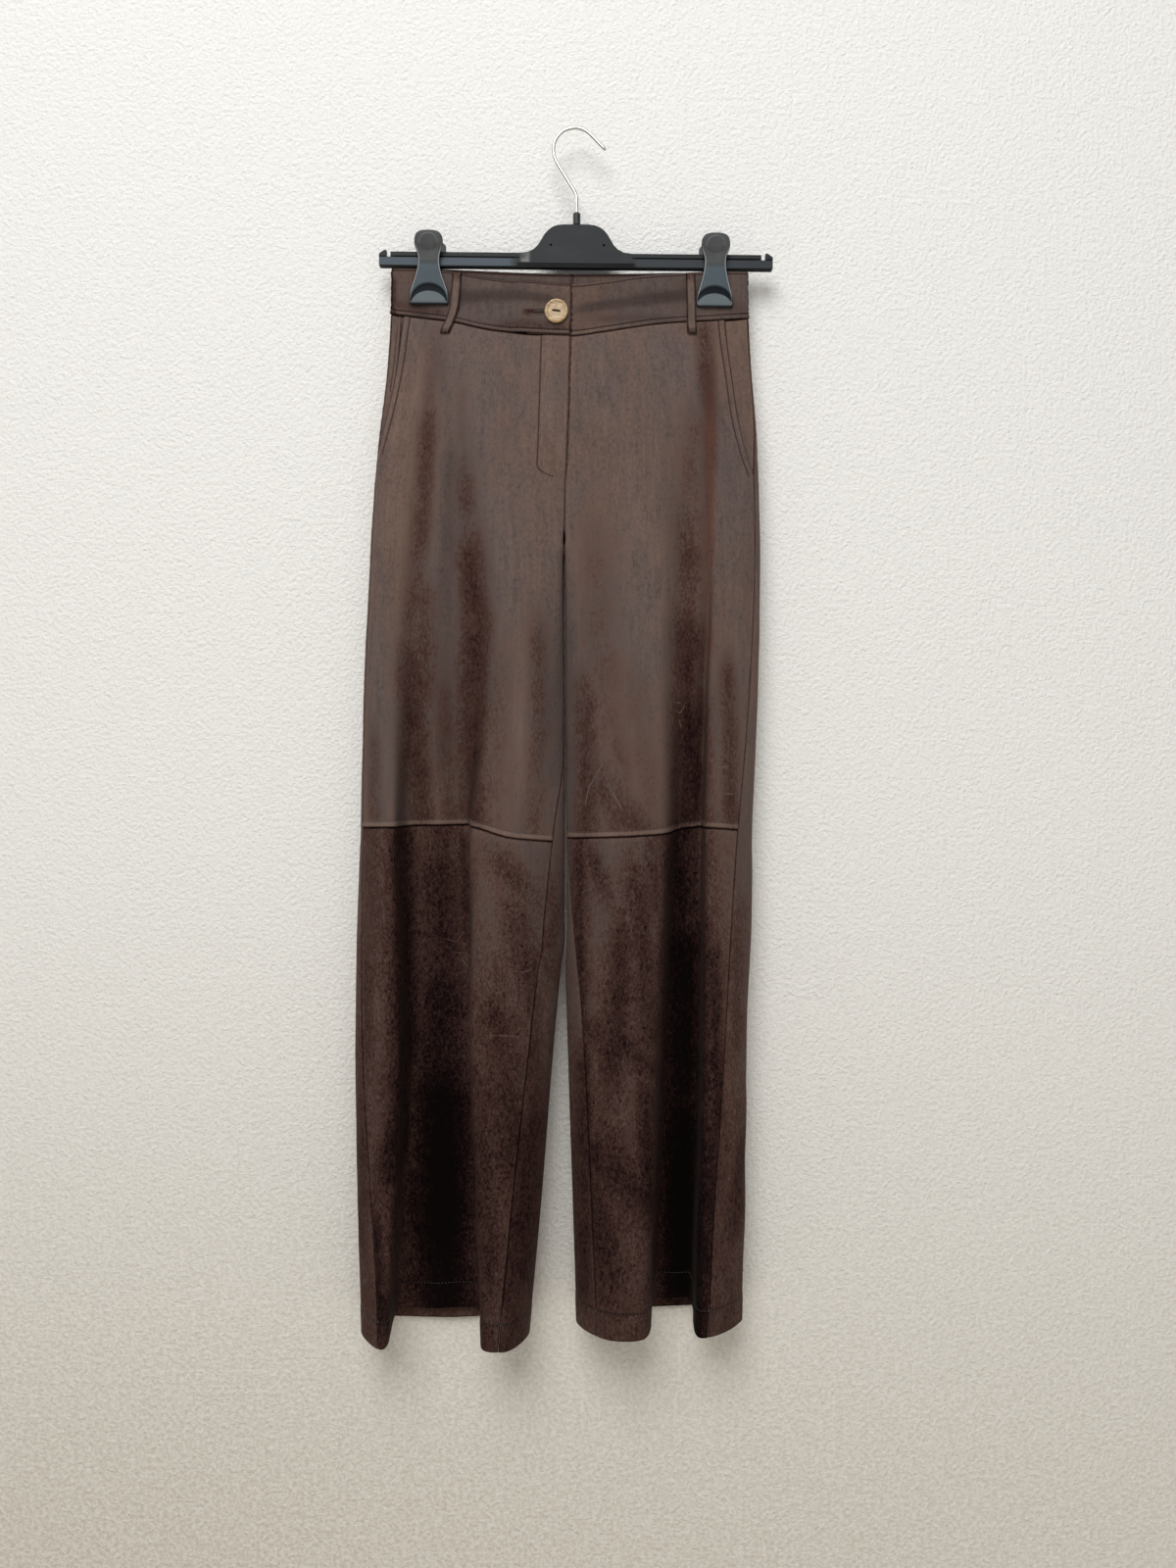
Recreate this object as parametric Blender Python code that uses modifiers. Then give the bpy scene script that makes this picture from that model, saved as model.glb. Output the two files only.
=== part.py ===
"""High-waisted wide-leg faux leather trousers, hanging by their waistband from a clip hanger.

Metres, +Z up. The front of the trousers faces -Y, and +X is the viewer's right. The origin is
the highest point inside the hanger's hook, where the hook rests on its rail or nail. Distances
named "drop" are heights under that point, and "ahead" is how far the cloth stands in front of
the hanger's own plane, towards the viewer.
"""

import math
from collections import namedtuple

import bmesh
import bpy
from mathutils import Matrix, Vector

MM = 0.001

# ---------------------------------------------------------------- driving dimensions

CLOTH = 1.2 * MM  # faux leather, suede side out
BAND_CLOTH = 2.0 * MM  # waistband: two layers of cloth and a stiffener
LOOP_CLOTH = 1.4 * MM
SEAM_GAP = 0.3 * MM  # between two pieces that are sewn together

BAR_LENGTH = 380.0 * MM
BAR_HEIGHT = 13.9 * MM
BAR_DEPTH = 6.0 * MM
BAR_DROP = 127.9 * MM  # middle of the bar, under the hook
BAR_TILT = 0.57  # degrees, the viewer's right end hangs lower
HOOK_WIRE = 3.4 * MM

BUTTON_ACROSS = 22.4 * MM
BUTTON_HIGH = 24.0 * MM
BUTTON_THICK = 3.6 * MM
BUTTON_AT = (-18.0 * MM, -184.8 * MM)
BUTTONHOLE_ENDS = (-39.5 * MM, -18.0 * MM)

CROTCH_TOP = -400.0 * MM  # the centre seams turn under between these two heights
CROTCH_FOOT = -432.0 * MM
LEG_CLEARANCE = 2.3 * MM  # from the centre line to the inner skin of each leg, where the legs touch
LEGS_PART = (-760.0 * MM, -820.0 * MM)  # between these heights the legs come clear of each other
HEEL = 12.0 * MM  # how far in from each side the back's cloth turns flat, at most
BELLY_SHARE = 0.55  # where the belly lies between the inner crest and the centre
PROBE = 2.0 * MM  # step for slopes down the cloth
STATION_PROBE = 0.02
HALVINGS = 40  # of a search along a ring
LOOP_WIDTH = 9.2 * MM

# ---------------------------------------------------------------- sections of the garment
# One row for each level. The ring of cloth of each leg runs through eleven folds, called
# stations, and a seam is a place between two stations.

STATIONS = ("outer", "crest_out", "valley_out", "ridge", "valley_in", "crest_in", "belly",
            "inner", "back_in", "back_mid", "back_out")
CREST_OUT = STATIONS.index("crest_out")
CREST_IN = STATIONS.index("crest_in")
INNER = STATIONS.index("inner")
BACK_IN = STATIONS.index("back_in")
BACK_MID = STATIONS.index("back_mid")
BACK_OUT = STATIONS.index("back_out")

Across = namedtuple("Across", "drop outer crest_out valley_out ridge valley_in crest_in inner")
Ahead = namedtuple("Ahead", "drop outer crest_out valley_out ridge valley_in crest_in belly inner back")
Seams = namedtuple("Seams", "drop outseam inseam")

# where each station lies across the garment (mm from the hook's line)
LEFT_ACROSS = (
    Across(134, -178.0, -160.0, -142.0, -124.0, -104.0, -80.0, -3.4),
    Across(172, -178.4, -160.0, -142.0, -124.0, -104.0, -80.0, -4.6),
    Across(190, -178.6, -158.0, -142.4, -124.2, -105.5, -81.6, -5.1),
    Across(240, -181.6, -160.0, -143.0, -124.2, -104.0, -80.0, -6.2),
    Across(300, -188.4, -161.5, -143.5, -123.9, -102.0, -77.0, -7.7),
    Across(360, -193.4, -164.5, -145.5, -124.4, -98.5, -73.0, -9.9),
    Across(425, -196.8, -167.3, -147.9, -124.9, -96.0, -70.0, -10.8),
    Across(550, -202.6, -172.2, -152.4, -127.2, -97.4, -73.6, -10.0),
    Across(680, -205.1, -173.2, -162.0, -132.3, -103.5, -93.4, -9.8),
    Across(780, -207.7, -171.3, -161.2, -132.5, -103.0, -93.4, -10.4),
    Across(810, -208.5, -170.4, -160.9, -132.5, -102.6, -93.4, -15.3),
    Across(840, -209.2, -169.6, -160.5, -132.6, -102.2, -93.3, -18.5),
    Across(900, -209.8, -168.8, -160.2, -132.7, -101.4, -93.3, -23.8),
    Across(1030, -207.0, -172.4, -166.5, -134.7, -97.4, -89.8, -34.0),
    Across(1155, -203.3, -178.9, -174.2, -135.4, -92.3, -85.2, -45.6),
)
RIGHT_ACROSS = (
    Across(134, 166.0, 150.0, 134.0, 118.5, 101.7, 74.0, -3.4),
    Across(172, 166.2, 150.0, 134.0, 118.5, 101.7, 74.0, -4.6),
    Across(190, 166.4, 148.4, 133.8, 118.5, 101.7, 73.3, -5.1),
    Across(240, 168.6, 146.0, 132.0, 117.5, 102.0, 74.0, -6.2),
    Across(300, 173.0, 140.7, 130.3, 117.0, 103.5, 76.2, -7.7),
    Across(360, 174.6, 136.6, 128.0, 115.6, 103.2, 77.0, -9.9),
    Across(425, 175.5, 133.6, 126.8, 115.1, 102.7, 77.8, -10.8),
    Across(550, 173.3, 128.5, 123.2, 112.7, 101.2, 77.6, -10.9),
    Across(680, 167.9, 125.8, 120.7, 110.5, 98.5, 79.2, -9.7),
    Across(780, 165.1, 124.4, 119.5, 107.8, 94.3, 75.6, -9.1),
    Across(900, 162.4, 122.8, 118.1, 103.9, 87.8, 69.1, -6.0),
    Across(1030, 160.0, 119.6, 115.1, 99.4, 80.8, 65.9, -1.8),
    Across(1155, 157.5, 115.2, 110.8, 93.8, 74.6, 62.2, 2.3),
)

# how far each station stands ahead of the hanger's plane (mm); behind it is negative
AHEAD = (
    Ahead(134, 0.0, 0.15, 0.15, 0.2, 1.2, 5.0, 10.0, 12.0, -0.15),
    Ahead(172, 0.0, 0.3, 0.3, 0.5, 3.0, 9.0, 15.0, 17.0, -0.4),
    Ahead(190, 0.5, 2.0, 2.5, 3.5, 6.0, 12.0, 17.0, 19.0, -2.5),
    Ahead(240, 2.0, 9.0, 13.0, 15.0, 17.0, 22.0, 25.0, 26.0, -8.0),
    Ahead(300, 4.0, 18.0, 22.0, 26.0, 27.0, 29.0, 31.0, 32.0, -12.0),
    Ahead(360, 5.5, 24.0, 24.0, 28.5, 26.5, 31.5, 34.0, 33.5, -14.0),
    Ahead(425, 7.0, 29.0, 23.5, 28.0, 25.0, 34.0, 37.0, 31.0, -15.0),
    Ahead(550, 9.0, 33.0, 18.0, 25.0, 17.0, 36.0, 39.0, 14.0, -15.5),
    Ahead(680, 11.0, 37.0, 6.0, 8.0, 3.0, 39.0, 42.0, 14.0, -16.0),
    Ahead(900, 13.0, 43.0, -2.0, -3.0, -3.0, 44.5, 47.0, 14.0, -16.0),
    Ahead(1030, 14.0, 45.5, -5.0, -6.0, -5.5, 47.0, 49.0, 15.0, -16.0),
    Ahead(1155, 14.0, 48.0, -8.0, -8.5, -8.0, 49.0, 51.0, 16.0, -16.0),
)

# which station, or which point between two, each leg seam follows
LEFT_SEAMS = (
    Seams(134, 0.0, 7.0), Seams(240, 0.0, 7.0), Seams(322, 0.04, 7.0), Seams(400, 0.10, 7.0),
    Seams(432, 0.12, 7.5), Seams(550, 0.14, 7.3), Seams(610, 0.15, 7.0), Seams(660, 0.16, 6.72),
    Seams(720, 0.17, 6.53), Seams(800, 0.22, 6.37), Seams(900, 0.30, 6.24), Seams(1030, 0.50, 5.98),
    Seams(1155, 0.82, 5.65),
)
RIGHT_SEAMS = (
    Seams(134, 0.0, 7.0), Seams(240, 0.0, 7.0), Seams(344, 0.16, 7.0), Seams(400, 0.17, 7.0),
    Seams(432, 0.18, 7.5), Seams(550, 0.26, 7.4), Seams(625, 0.34, 7.2), Seams(680, 0.41, 7.0),
    Seams(760, 0.49, 6.78), Seams(820, 0.54, 6.57), Seams(900, 0.61, 6.44), Seams(1030, 0.74, 6.34),
    Seams(1155, 0.80, 6.23),
)

# edges that run across the garment: (across, height) in mm
BAND_TOP_FRONT = (
    (-179, -134.4), (-150, -134.9), (-119, -137.6), (-100, -142.0), (-78, -147.5), (-40, -153.5),
    (-5, -157.0), (30, -152.5), (60, -146.0), (95, -140.8), (118, -138.4), (150, -137.8), (168, -138.0),
)
BAND_TOP_BACK = (
    (-179, -134.4), (-120, -135.2), (-60, -137.8), (0, -139.4), (60, -138.8), (118, -137.9), (168, -138.0),
)
BAND_SEAM_FRONT = (
    (-180, -179.0), (-150, -183.0), (-120, -187.5), (-78, -200.4), (-40, -206.0), (-5, -208.1),
    (25, -203.5), (55, -197.5), (80, -192.4), (107, -188.0), (140, -185.0), (168, -183.1),
)
BAND_SEAM_BACK = ((-180, -179.0), (-90, -186.0), (0, -189.0), (90, -187.0), (168, -183.1))
LEFT_POCKET = (
    (-170, -166.6), (-182, -167.0), (-200, -168.9), (-219, -170.7), (-246, -174.4), (-276, -180.2),
    (-303, -186.5), (-322, -190.8),
)
RIGHT_POCKET = (
    (-170, 144.0), (-187, 144.3), (-215, 146.3), (-246, 150.2), (-281, 154.8), (-316, 163.0), (-344, 172.6),
)
POCKET_FOOT = {"left": -322 * MM, "right": -344 * MM}
KNEE_SEAM = {"left": ((-206, -674.5), (-105, -672.0), (-60, -683.0), (-14, -688.0)),
             "right": ((-8, -684.5), (80, -680.0), (120, -674.0), (168, -678.0))}
HEM = {"left": -1156.5 * MM, "right": -1146.0 * MM}
HEM_RISE = 13.0 * MM  # the front hem rides up where the front is pushed back

FLY_FOOT = -350 * MM  # end of the fly's curved stitching
FLY_LIFT = 1.5 * MM  # the fly's edge lies on top of the other front
OVERLAP_LIFT = BAND_CLOTH + SEAM_GAP  # and so does the band's buttonhole end
UNDERLAP_END = -46.0 * MM
OVERLAP_END = -4.4 * MM


# ---------------------------------------------------------------- small curve helpers

def slopes(xs, ys):
    """Slopes of a curve through the points that never overshoots them."""
    steps = [(ys[i + 1] - ys[i]) / (xs[i + 1] - xs[i]) for i in range(len(xs) - 1)]
    inner = [0.0 if a * b <= 0 else 2 * a * b / (a + b) for a, b in zip(steps, steps[1:])]
    return [steps[0]] + inner + [steps[-1]]


def curve(points):
    """A smooth function through (x, y) pairs, level past both ends."""
    pairs = sorted(points)
    xs = [p[0] for p in pairs]
    ys = [p[1] for p in pairs]
    ms = slopes(xs, ys)

    def value(x):
        x = min(max(x, xs[0]), xs[-1])
        i = min(max(0, sum(1 for k in xs if k <= x) - 1), len(xs) - 2)
        h = xs[i + 1] - xs[i]
        t = (x - xs[i]) / h
        return ((1 + 2 * t) * (1 - t) ** 2 * ys[i] + t * (1 - t) ** 2 * h * ms[i]
                + t * t * (3 - 2 * t) * ys[i + 1] + t * t * (t - 1) * h * ms[i + 1])

    return value


def ease(x, start, end):
    """0 before start, 1 past end, smooth between."""
    t = min(max((x - start) / (end - start), 0.0), 1.0)
    return t * t * (3 - 2 * t)


def in_metres(points):
    return curve([(a * MM, b * MM) for a, b in points])


def columns(table, scale=MM):
    """One smooth function of height for each named column of a table of levels."""
    return {name: curve([(-row.drop * MM, getattr(row, name) * scale) for row in table])
            for name in table[0]._fields if name != "drop"}


# ---------------------------------------------------------------- the skin of the garment

class Leg:
    """Half of the garment: the inner skin of one leg, and of its half of the hips above."""

    def __init__(self, side, across, seams, pocket):
        self.side = side
        self.out = -1.0 if side == "left" else 1.0  # direction away from the centre line
        self.across = columns(across)
        self.ahead = columns(AHEAD)
        seam = columns(seams, 1.0)
        self.outseam = seam["outseam"]
        self.inseam = seam["inseam"]
        self.pocket = in_metres(pocket)
        self.knee = in_metres(KNEE_SEAM[side])
        self.hem = HEM[side]
        self.rings = {}

    def marks(self, z):
        """The eleven stations (x, y) of the ring at height z, and the slope of the ring at each."""
        key = round(z, 6)
        if key in self.rings:
            return self.rings[key]
        x = {name: f(z) for name, f in self.across.items()}
        y = {name: -f(z) for name, f in self.ahead.items()}
        legs = ease(-z, -CROTCH_TOP - 5 * MM, -CROTCH_FOOT + 8 * MM)  # 0 in the hips, 1 below them
        apart = ease(-z, -CROTCH_TOP - 15 * MM, -CROTCH_FOOT - 7 * MM)
        apart -= ease(-z, -LEGS_PART[0], -LEGS_PART[1])
        inner = x["inner"] + self.out * LEG_CLEARANCE * apart
        depth = y["back"] - y["crest_in"]
        heel = min(HEEL, 0.25 * depth + 1 * MM)
        points = [
            (x["outer"], y["outer"]), (x["crest_out"], y["crest_out"]),
            (x["valley_out"], y["valley_out"]), (x["ridge"], y["ridge"]),
            (x["valley_in"], y["valley_in"]), (x["crest_in"], y["crest_in"]),
            ((1 - BELLY_SHARE) * x["crest_in"] + BELLY_SHARE * inner, y["belly"]),
            (inner, y["inner"]),
            (inner + self.out * heel * legs, y["back"]),
            (0.5 * (inner + x["outer"]), y["back"]),
            (x["outer"] - self.out * heel, y["back"]),
        ]
        spots = [Vector(p) for p in points]
        count = len(spots)
        spans = [(spots[(i + 1) % count] - spots[i]).length for i in range(count)]
        slope = []
        for i in range(count):
            before, after = spots[i - 1], spots[(i + 1) % count]
            slope.append((after - before) / (spans[i - 1] + spans[i]))
        level = Vector((-self.out, 0.0))  # across the centre line both halves run on into each other
        slope[INNER] = slope[INNER].lerp(level, 1 - legs)
        slope[BACK_IN] = slope[BACK_IN].lerp(-level, 1 - legs)
        self.rings[key] = (spots, slope, spans, inner)
        return self.rings[key]

    def skin(self, station, z):
        """A point of the inner skin."""
        spots, slope, spans, inner = self.marks(z)
        count = len(spots)
        i = math.floor(station)
        t = station - i
        a, b = i % count, (i + 1) % count
        h = spans[a]
        spot = ((1 + 2 * t) * (1 - t) ** 2 * spots[a] + t * (1 - t) ** 2 * h * slope[a]
                + t * t * (3 - 2 * t) * spots[b] + t * t * (t - 1) * h * slope[b])
        x = min(spot.x, inner) if self.side == "left" else max(spot.x, inner)
        return Vector((x, spot.y, z))

    def outward(self, station, z):
        """The direction straight out of the cloth."""
        along = self.skin(station + STATION_PROBE, z) - self.skin(station - STATION_PROBE, z)
        down = self.skin(station, z - PROBE) - self.skin(station, z + PROBE)
        return (down.cross(along) * -self.out).normalized()

    def station_at(self, x, z, low=-0.2, high=7.0):
        """The station on the front where the skin is x across."""
        for _ in range(HALVINGS):
            middle = 0.5 * (low + high)
            if (self.skin(middle, z).x - x) * self.out > 0:
                low = middle
            else:
                high = middle
        return 0.5 * (low + high)

    def front_edge(self, z):
        """The front's outer edge: the pocket mouth, and under it the side seam."""
        seam = self.outseam(z)
        if z < POCKET_FOOT[self.side]:
            return seam
        return max(seam, self.station_at(self.pocket(z), z, 0.0, 2.0))


LEFT = Leg("left", LEFT_ACROSS, LEFT_SEAMS, LEFT_POCKET)
RIGHT = Leg("right", RIGHT_ACROSS, RIGHT_SEAMS, RIGHT_POCKET)
LEGS = (LEFT, RIGHT)

band_top_front = in_metres(BAND_TOP_FRONT)
band_top_back = in_metres(BAND_TOP_BACK)
band_seam_front = in_metres(BAND_SEAM_FRONT)
band_seam_back = in_metres(BAND_SEAM_BACK)


def front_spot(x, z, lift=0.0):
    """A point of the whole front at x across, lifted off the inner skin, and the outward direction."""
    centre = LEFT.across["inner"](z)
    leg = LEFT if x < centre else RIGHT
    station = leg.station_at(x, z)
    normal = leg.outward(min(station, INNER - STATION_PROBE), z)
    return leg.skin(station, z) + normal * lift, normal


def hem_height(leg, station):
    """Height of the hem: level all round, but higher where the front is pushed back."""
    rise = ease(station, 1.2, 2.2) * (1 - ease(station, 3.9, 4.9))
    return leg.hem + HEM_RISE * rise


# ---------------------------------------------------------------- scene, materials, meshes

for old in list(bpy.data.objects):
    bpy.data.objects.remove(old, do_unlink=True)

parts = bpy.data.collections.new("trousers_on_clip_hanger")
cutters = bpy.data.collections.new("cutters")
bpy.context.scene.collection.children.link(parts)
bpy.context.scene.collection.children.link(cutters)


def material(name, colour, roughness, metallic=0.0):
    made = bpy.data.materials.new(name)
    made.use_nodes = True
    shader = made.node_tree.nodes["Principled BSDF"]
    shader.inputs["Base Color"].default_value = (*colour, 1.0)
    shader.inputs["Roughness"].default_value = roughness
    shader.inputs["Metallic"].default_value = metallic
    return made


THIGH_CLOTH = material("faux_leather_thigh", (0.115, 0.080, 0.062), 0.75)
SHIN_CLOTH = material("faux_leather_shin", (0.070, 0.043, 0.034), 0.70)
BACK_CLOTH = material("faux_leather_back", (0.095, 0.062, 0.048), 0.75)
BAND_FINISH = material("faux_leather_band", (0.100, 0.078, 0.068), 0.75)
LOOP_FINISH = material("faux_leather_loops", (0.060, 0.040, 0.032), 0.75)
ZIP_TAPE = material("zip_tape", (0.040, 0.028, 0.022), 0.85)
WOOD = material("button_wood", (0.50, 0.34, 0.19), 0.55)
PLASTIC = material("hanger_plastic", (0.015, 0.017, 0.019), 0.35)
CLIP_PLASTIC = material("clip_plastic", (0.020, 0.022, 0.024), 0.40)
STEEL = material("hook_steel", (0.62, 0.61, 0.59), 0.28, 1.0)


def link(name, mesh, finish, where=parts):
    made = bpy.data.objects.new(name, mesh)
    made.data.materials.append(finish)
    where.objects.link(made)
    return made


def trimmed(grid, sides):
    """Pulls the named edges of a grid of points back by half a seam gap."""
    pull = 0.5 * SEAM_GAP
    rows, cols = len(grid), len(grid[0])
    moved = [list(row) for row in grid]
    for r in range(rows):
        if "start" in sides:
            moved[r][0] = grid[r][0] + (grid[r][1] - grid[r][0]).normalized() * pull
        if "end" in sides:
            moved[r][-1] = grid[r][-1] + (grid[r][-2] - grid[r][-1]).normalized() * pull
    for c in range(cols):
        if "top" in sides:
            moved[0][c] = moved[0][c] + (grid[1][c] - grid[0][c]).normalized() * pull
        if "bottom" in sides:
            moved[-1][c] = moved[-1][c] + (grid[-2][c] - grid[-1][c]).normalized() * pull
    return moved


def cloth_piece(name, grid, thickness, finish, flip=False):
    """A sheet through a grid of inner points, thickened outward."""
    bm = bmesh.new()
    rows, cols = len(grid), len(grid[0])
    verts = [[bm.verts.new(p) for p in row] for row in grid]
    for r in range(rows - 1):
        for c in range(cols - 1):
            ring = [verts[r][c], verts[r + 1][c], verts[r + 1][c + 1], verts[r][c + 1]]
            bm.faces.new(ring[::-1] if flip else ring)
    mesh = bpy.data.meshes.new(name)
    bm.to_mesh(mesh)
    bm.free()
    mesh.shade_smooth()
    made = link(name, mesh, finish)
    shell = made.modifiers.new("cloth", "SOLIDIFY")
    shell.thickness = thickness
    shell.offset = 1.0
    return made


def levels(top, bottom, nominal):
    """Heights between two edges: the nominal ones, drawn towards the edges near both ends."""
    first, last = nominal[0], nominal[-1]
    span = first - last
    made = []
    for z in nominal:
        near_top = max(0.0, 1 - (first - z) / (0.45 * span))
        near_bottom = max(0.0, 1 - (z - last) / (0.45 * span))
        made.append(z + (top - first) * near_top + (bottom - last) * near_bottom)
    return made


def edge_height(leg, station, guess, edge):
    """Height where the column at this station meets an edge that is given by its x."""
    z = guess
    for _ in range(4):
        z = edge(leg.skin(station(z), z).x)
    return z


def leg_grid(leg, stations, nominal, top, bottom, lift=None):
    """Rows of points from a top edge to a bottom edge, one column for each station function."""
    cols = []
    for station in stations:
        z_top = top(station)
        z_bottom = bottom(station)
        spots = []
        for z in levels(z_top, z_bottom, nominal):
            s = station(z)
            spot = leg.skin(s, z)
            if lift:
                spot = spot + leg.outward(s, z) * lift(spot.x, z)
            spots.append(spot)
        cols.append(spots)
    return [list(row) for row in zip(*cols)]


def between(start, end, share):
    return lambda z: start(z) + (end(z) - start(z)) * share


def fixed(station):
    return lambda z: station


def spread(start, end, count, skip_first=False):
    """Station functions at even steps from one place to another."""
    first = 1 if skip_first else 0
    return [between(start, end, i / count) for i in range(first, count + 1)]


# ---------------------------------------------------------------- legs

THIGH_ROWS = [-z * MM for z in (190, 215, 240, 265, 290, 315, 340, 365, 388, 404, 418, 432, 452,
                                480, 515, 550, 590, 630, 680)]
SHIN_ROWS = [-z * MM for z in (680, 715, 760, 810, 860, 910, 960, 1010, 1060, 1110, 1156)]


def front_stations(leg):
    """Columns of a front piece: they follow the folds, and only the ends slide with the seams."""
    marks = [fixed(s) for s in (1.33, 1.66, 2.0, 2.5, 3.0, 3.5, 4.0, 4.33, 4.66, CREST_IN)]
    start = spread(leg.front_edge, fixed(CREST_OUT), 3)
    end = spread(fixed(CREST_IN), leg.inseam, 6, skip_first=True)
    return start + marks + end


def back_stations(leg):
    """Columns of a back piece, from the inside seam round the back to the outside seam."""
    def seat(z):
        if z > CROTCH_FOOT:
            return BACK_IN - 0.5 * ease(-z, -CROTCH_TOP, -CROTCH_FOOT)
        return leg.inseam(z)

    def side(z):
        return len(STATIONS) + leg.outseam(z)

    return (spread(seat, fixed(0.5 * (BACK_IN + BACK_MID)), 8)
            + [fixed(s) for s in (8.75, BACK_MID, 9.25, 9.5, 9.75, BACK_OUT)]
            + spread(fixed(BACK_OUT), side, 4, skip_first=True))


def fly_lift(leg):
    """The left front's edge lies over the right front, down to the foot of the fly."""
    if leg.side == "right":
        return None

    def lift(x, z):
        centre = leg.across["inner"](z)
        return FLY_LIFT * ease(x, centre - 0.034, centre - 0.020) * ease(z, FLY_FOOT, FLY_FOOT + 0.030)

    return lift


def front_piece(leg, name, rows, top, bottom, sides, finish, lift=None):
    grid = leg_grid(leg, front_stations(leg), rows, top, bottom, lift)
    return cloth_piece(name, trimmed(grid, sides), CLOTH, finish, flip=leg.side == "right")


def make_legs():
    for leg in LEGS:
        def top(station, leg=leg):
            return edge_height(leg, station, -0.19, band_seam_front)

        def back_top(station, leg=leg):
            return edge_height(leg, station, -0.19, band_seam_back)

        def knee(station, leg=leg):
            return edge_height(leg, station, -0.68, leg.knee)

        def hem(station, leg=leg):
            return hem_height(leg, station(leg.hem))

        def back_hem(station, leg=leg):
            return leg.hem

        everywhere = ("start", "end", "top", "bottom")
        front_piece(leg, f"front_thigh_{leg.side}", THIGH_ROWS, top, knee, everywhere, THIGH_CLOTH,
                    fly_lift(leg))
        front_piece(leg, f"front_shin_{leg.side}", SHIN_ROWS, knee, hem, ("start", "end", "top"),
                    SHIN_CLOTH)
        stations = back_stations(leg)
        upper = leg_grid(leg, stations, THIGH_ROWS, back_top, knee)
        lower = leg_grid(leg, stations, SHIN_ROWS, knee, back_hem)
        grid = upper + lower[1:]
        cloth_piece(f"back_{leg.side}", trimmed(grid, ("start", "end", "top")), CLOTH, BACK_CLOTH,
                    flip=leg.side == "right")


# ---------------------------------------------------------------- pockets and fly

POCKET_ROWS = {"left": 7, "right": 8}  # levels of the thigh that the hip piece shares
NARROW_MOUTH = 0.02  # stations; nearer to the side seam than this the pocket has ended
POCKET_CLEARANCE = 0.6 * MM  # between the hip piece and the front that lies on it
POCKET_REACH = 0.10  # stations; the hip piece is at least this wide under the front


def make_pocket_side(leg):
    """The hip piece that shows outside the slanting pocket mouth and runs on under the front."""
    def top(station):
        return edge_height(leg, station, -0.19, band_seam_front)

    def knee(station):
        return edge_height(leg, station, -0.68, leg.knee)

    def reach(z):
        return max(leg.front_edge(z), leg.outseam(z) + POCKET_REACH)

    stations = spread(leg.outseam, reach, 3)
    stations += [between(reach, fixed(CREST_OUT), share / 3) for share in (1, 2)]
    grid = leg_grid(leg, stations, THIGH_ROWS, top, knee)[:POCKET_ROWS[leg.side]]
    under = CLOTH + POCKET_CLEARANCE
    for row in grid:
        for c, spot in enumerate(row):
            seam, mouth = leg.outseam(spot.z), leg.front_edge(spot.z)
            station = stations[c](spot.z)
            depth = under
            if mouth - seam > NARROW_MOUTH:
                depth = under * ease((station - seam) / (mouth - seam), 0.0, 0.65)
            row[c] = spot - leg.outward(station, spot.z) * depth
    cloth_piece(f"pocket_side_{leg.side}", trimmed(grid, ("start", "top")), CLOTH, BACK_CLOTH,
                flip=leg.side == "right")


def front_patch(name, left, right, top, bottom, rows, cols, lift, thickness, finish):
    """A strip behind or on the front between two x lines (functions of height) and two heights."""
    grid = []
    for r in range(rows + 1):
        line = []
        for c in range(cols + 1):
            z = top + (bottom - top) * r / rows
            x = left(z) + (right(z) - left(z)) * c / cols
            line.append(front_spot(x, z, lift)[0])
        grid.append(line)
    return cloth_piece(name, grid, thickness, finish)


def make_fly():
    """A closed zip behind the fly, and the shield behind the zip."""
    centre = LEFT.across["inner"]
    zip_tape = 0.8 * MM
    zip_lift = -(SEAM_GAP + zip_tape)
    shield_lift = zip_lift - SEAM_GAP - CLOTH
    top = -213 * MM
    front_patch("zip", lambda z: centre(z) - 0.016, lambda z: centre(z) + 0.008, top, -338 * MM,
                8, 4, zip_lift, zip_tape, ZIP_TAPE)
    front_patch("fly_shield", lambda z: centre(z) - 0.028, lambda z: centre(z) + 0.009, top,
                -345 * MM, 8, 5, shield_lift, CLOTH, BACK_CLOTH)


# ---------------------------------------------------------------- waistband

BAND_ROWS = 5
BAND_MARKS = (0.5, 1.0, 1.5, 2.0, 2.5, 3.0, 3.5, 4.0, 4.5, 5.0, 5.5, 6.0)


def band_column(leg, station, top_edge, seam_edge, lift=0.0):
    s = fixed(station)
    top = edge_height(leg, s, -0.14, top_edge)
    seam = edge_height(leg, s, -0.19, seam_edge)
    spots = []
    for r in range(BAND_ROWS + 1):
        z = top + (seam - top) * r / BAND_ROWS
        spots.append(leg.skin(station, z) + leg.outward(station, z) * lift)
    return spots


def band_column_at(x, lift):
    """A column of the band at x across."""
    spots = []
    top, seam = band_top_front(x), band_seam_front(x)
    for r in range(BAND_ROWS + 1):
        spots.append(front_spot(x, top + (seam - top) * r / BAND_ROWS, lift)[0])
    return spots


def overlap_lift(x):
    return OVERLAP_LIFT * ease(x, -0.066, -0.048)


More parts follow.
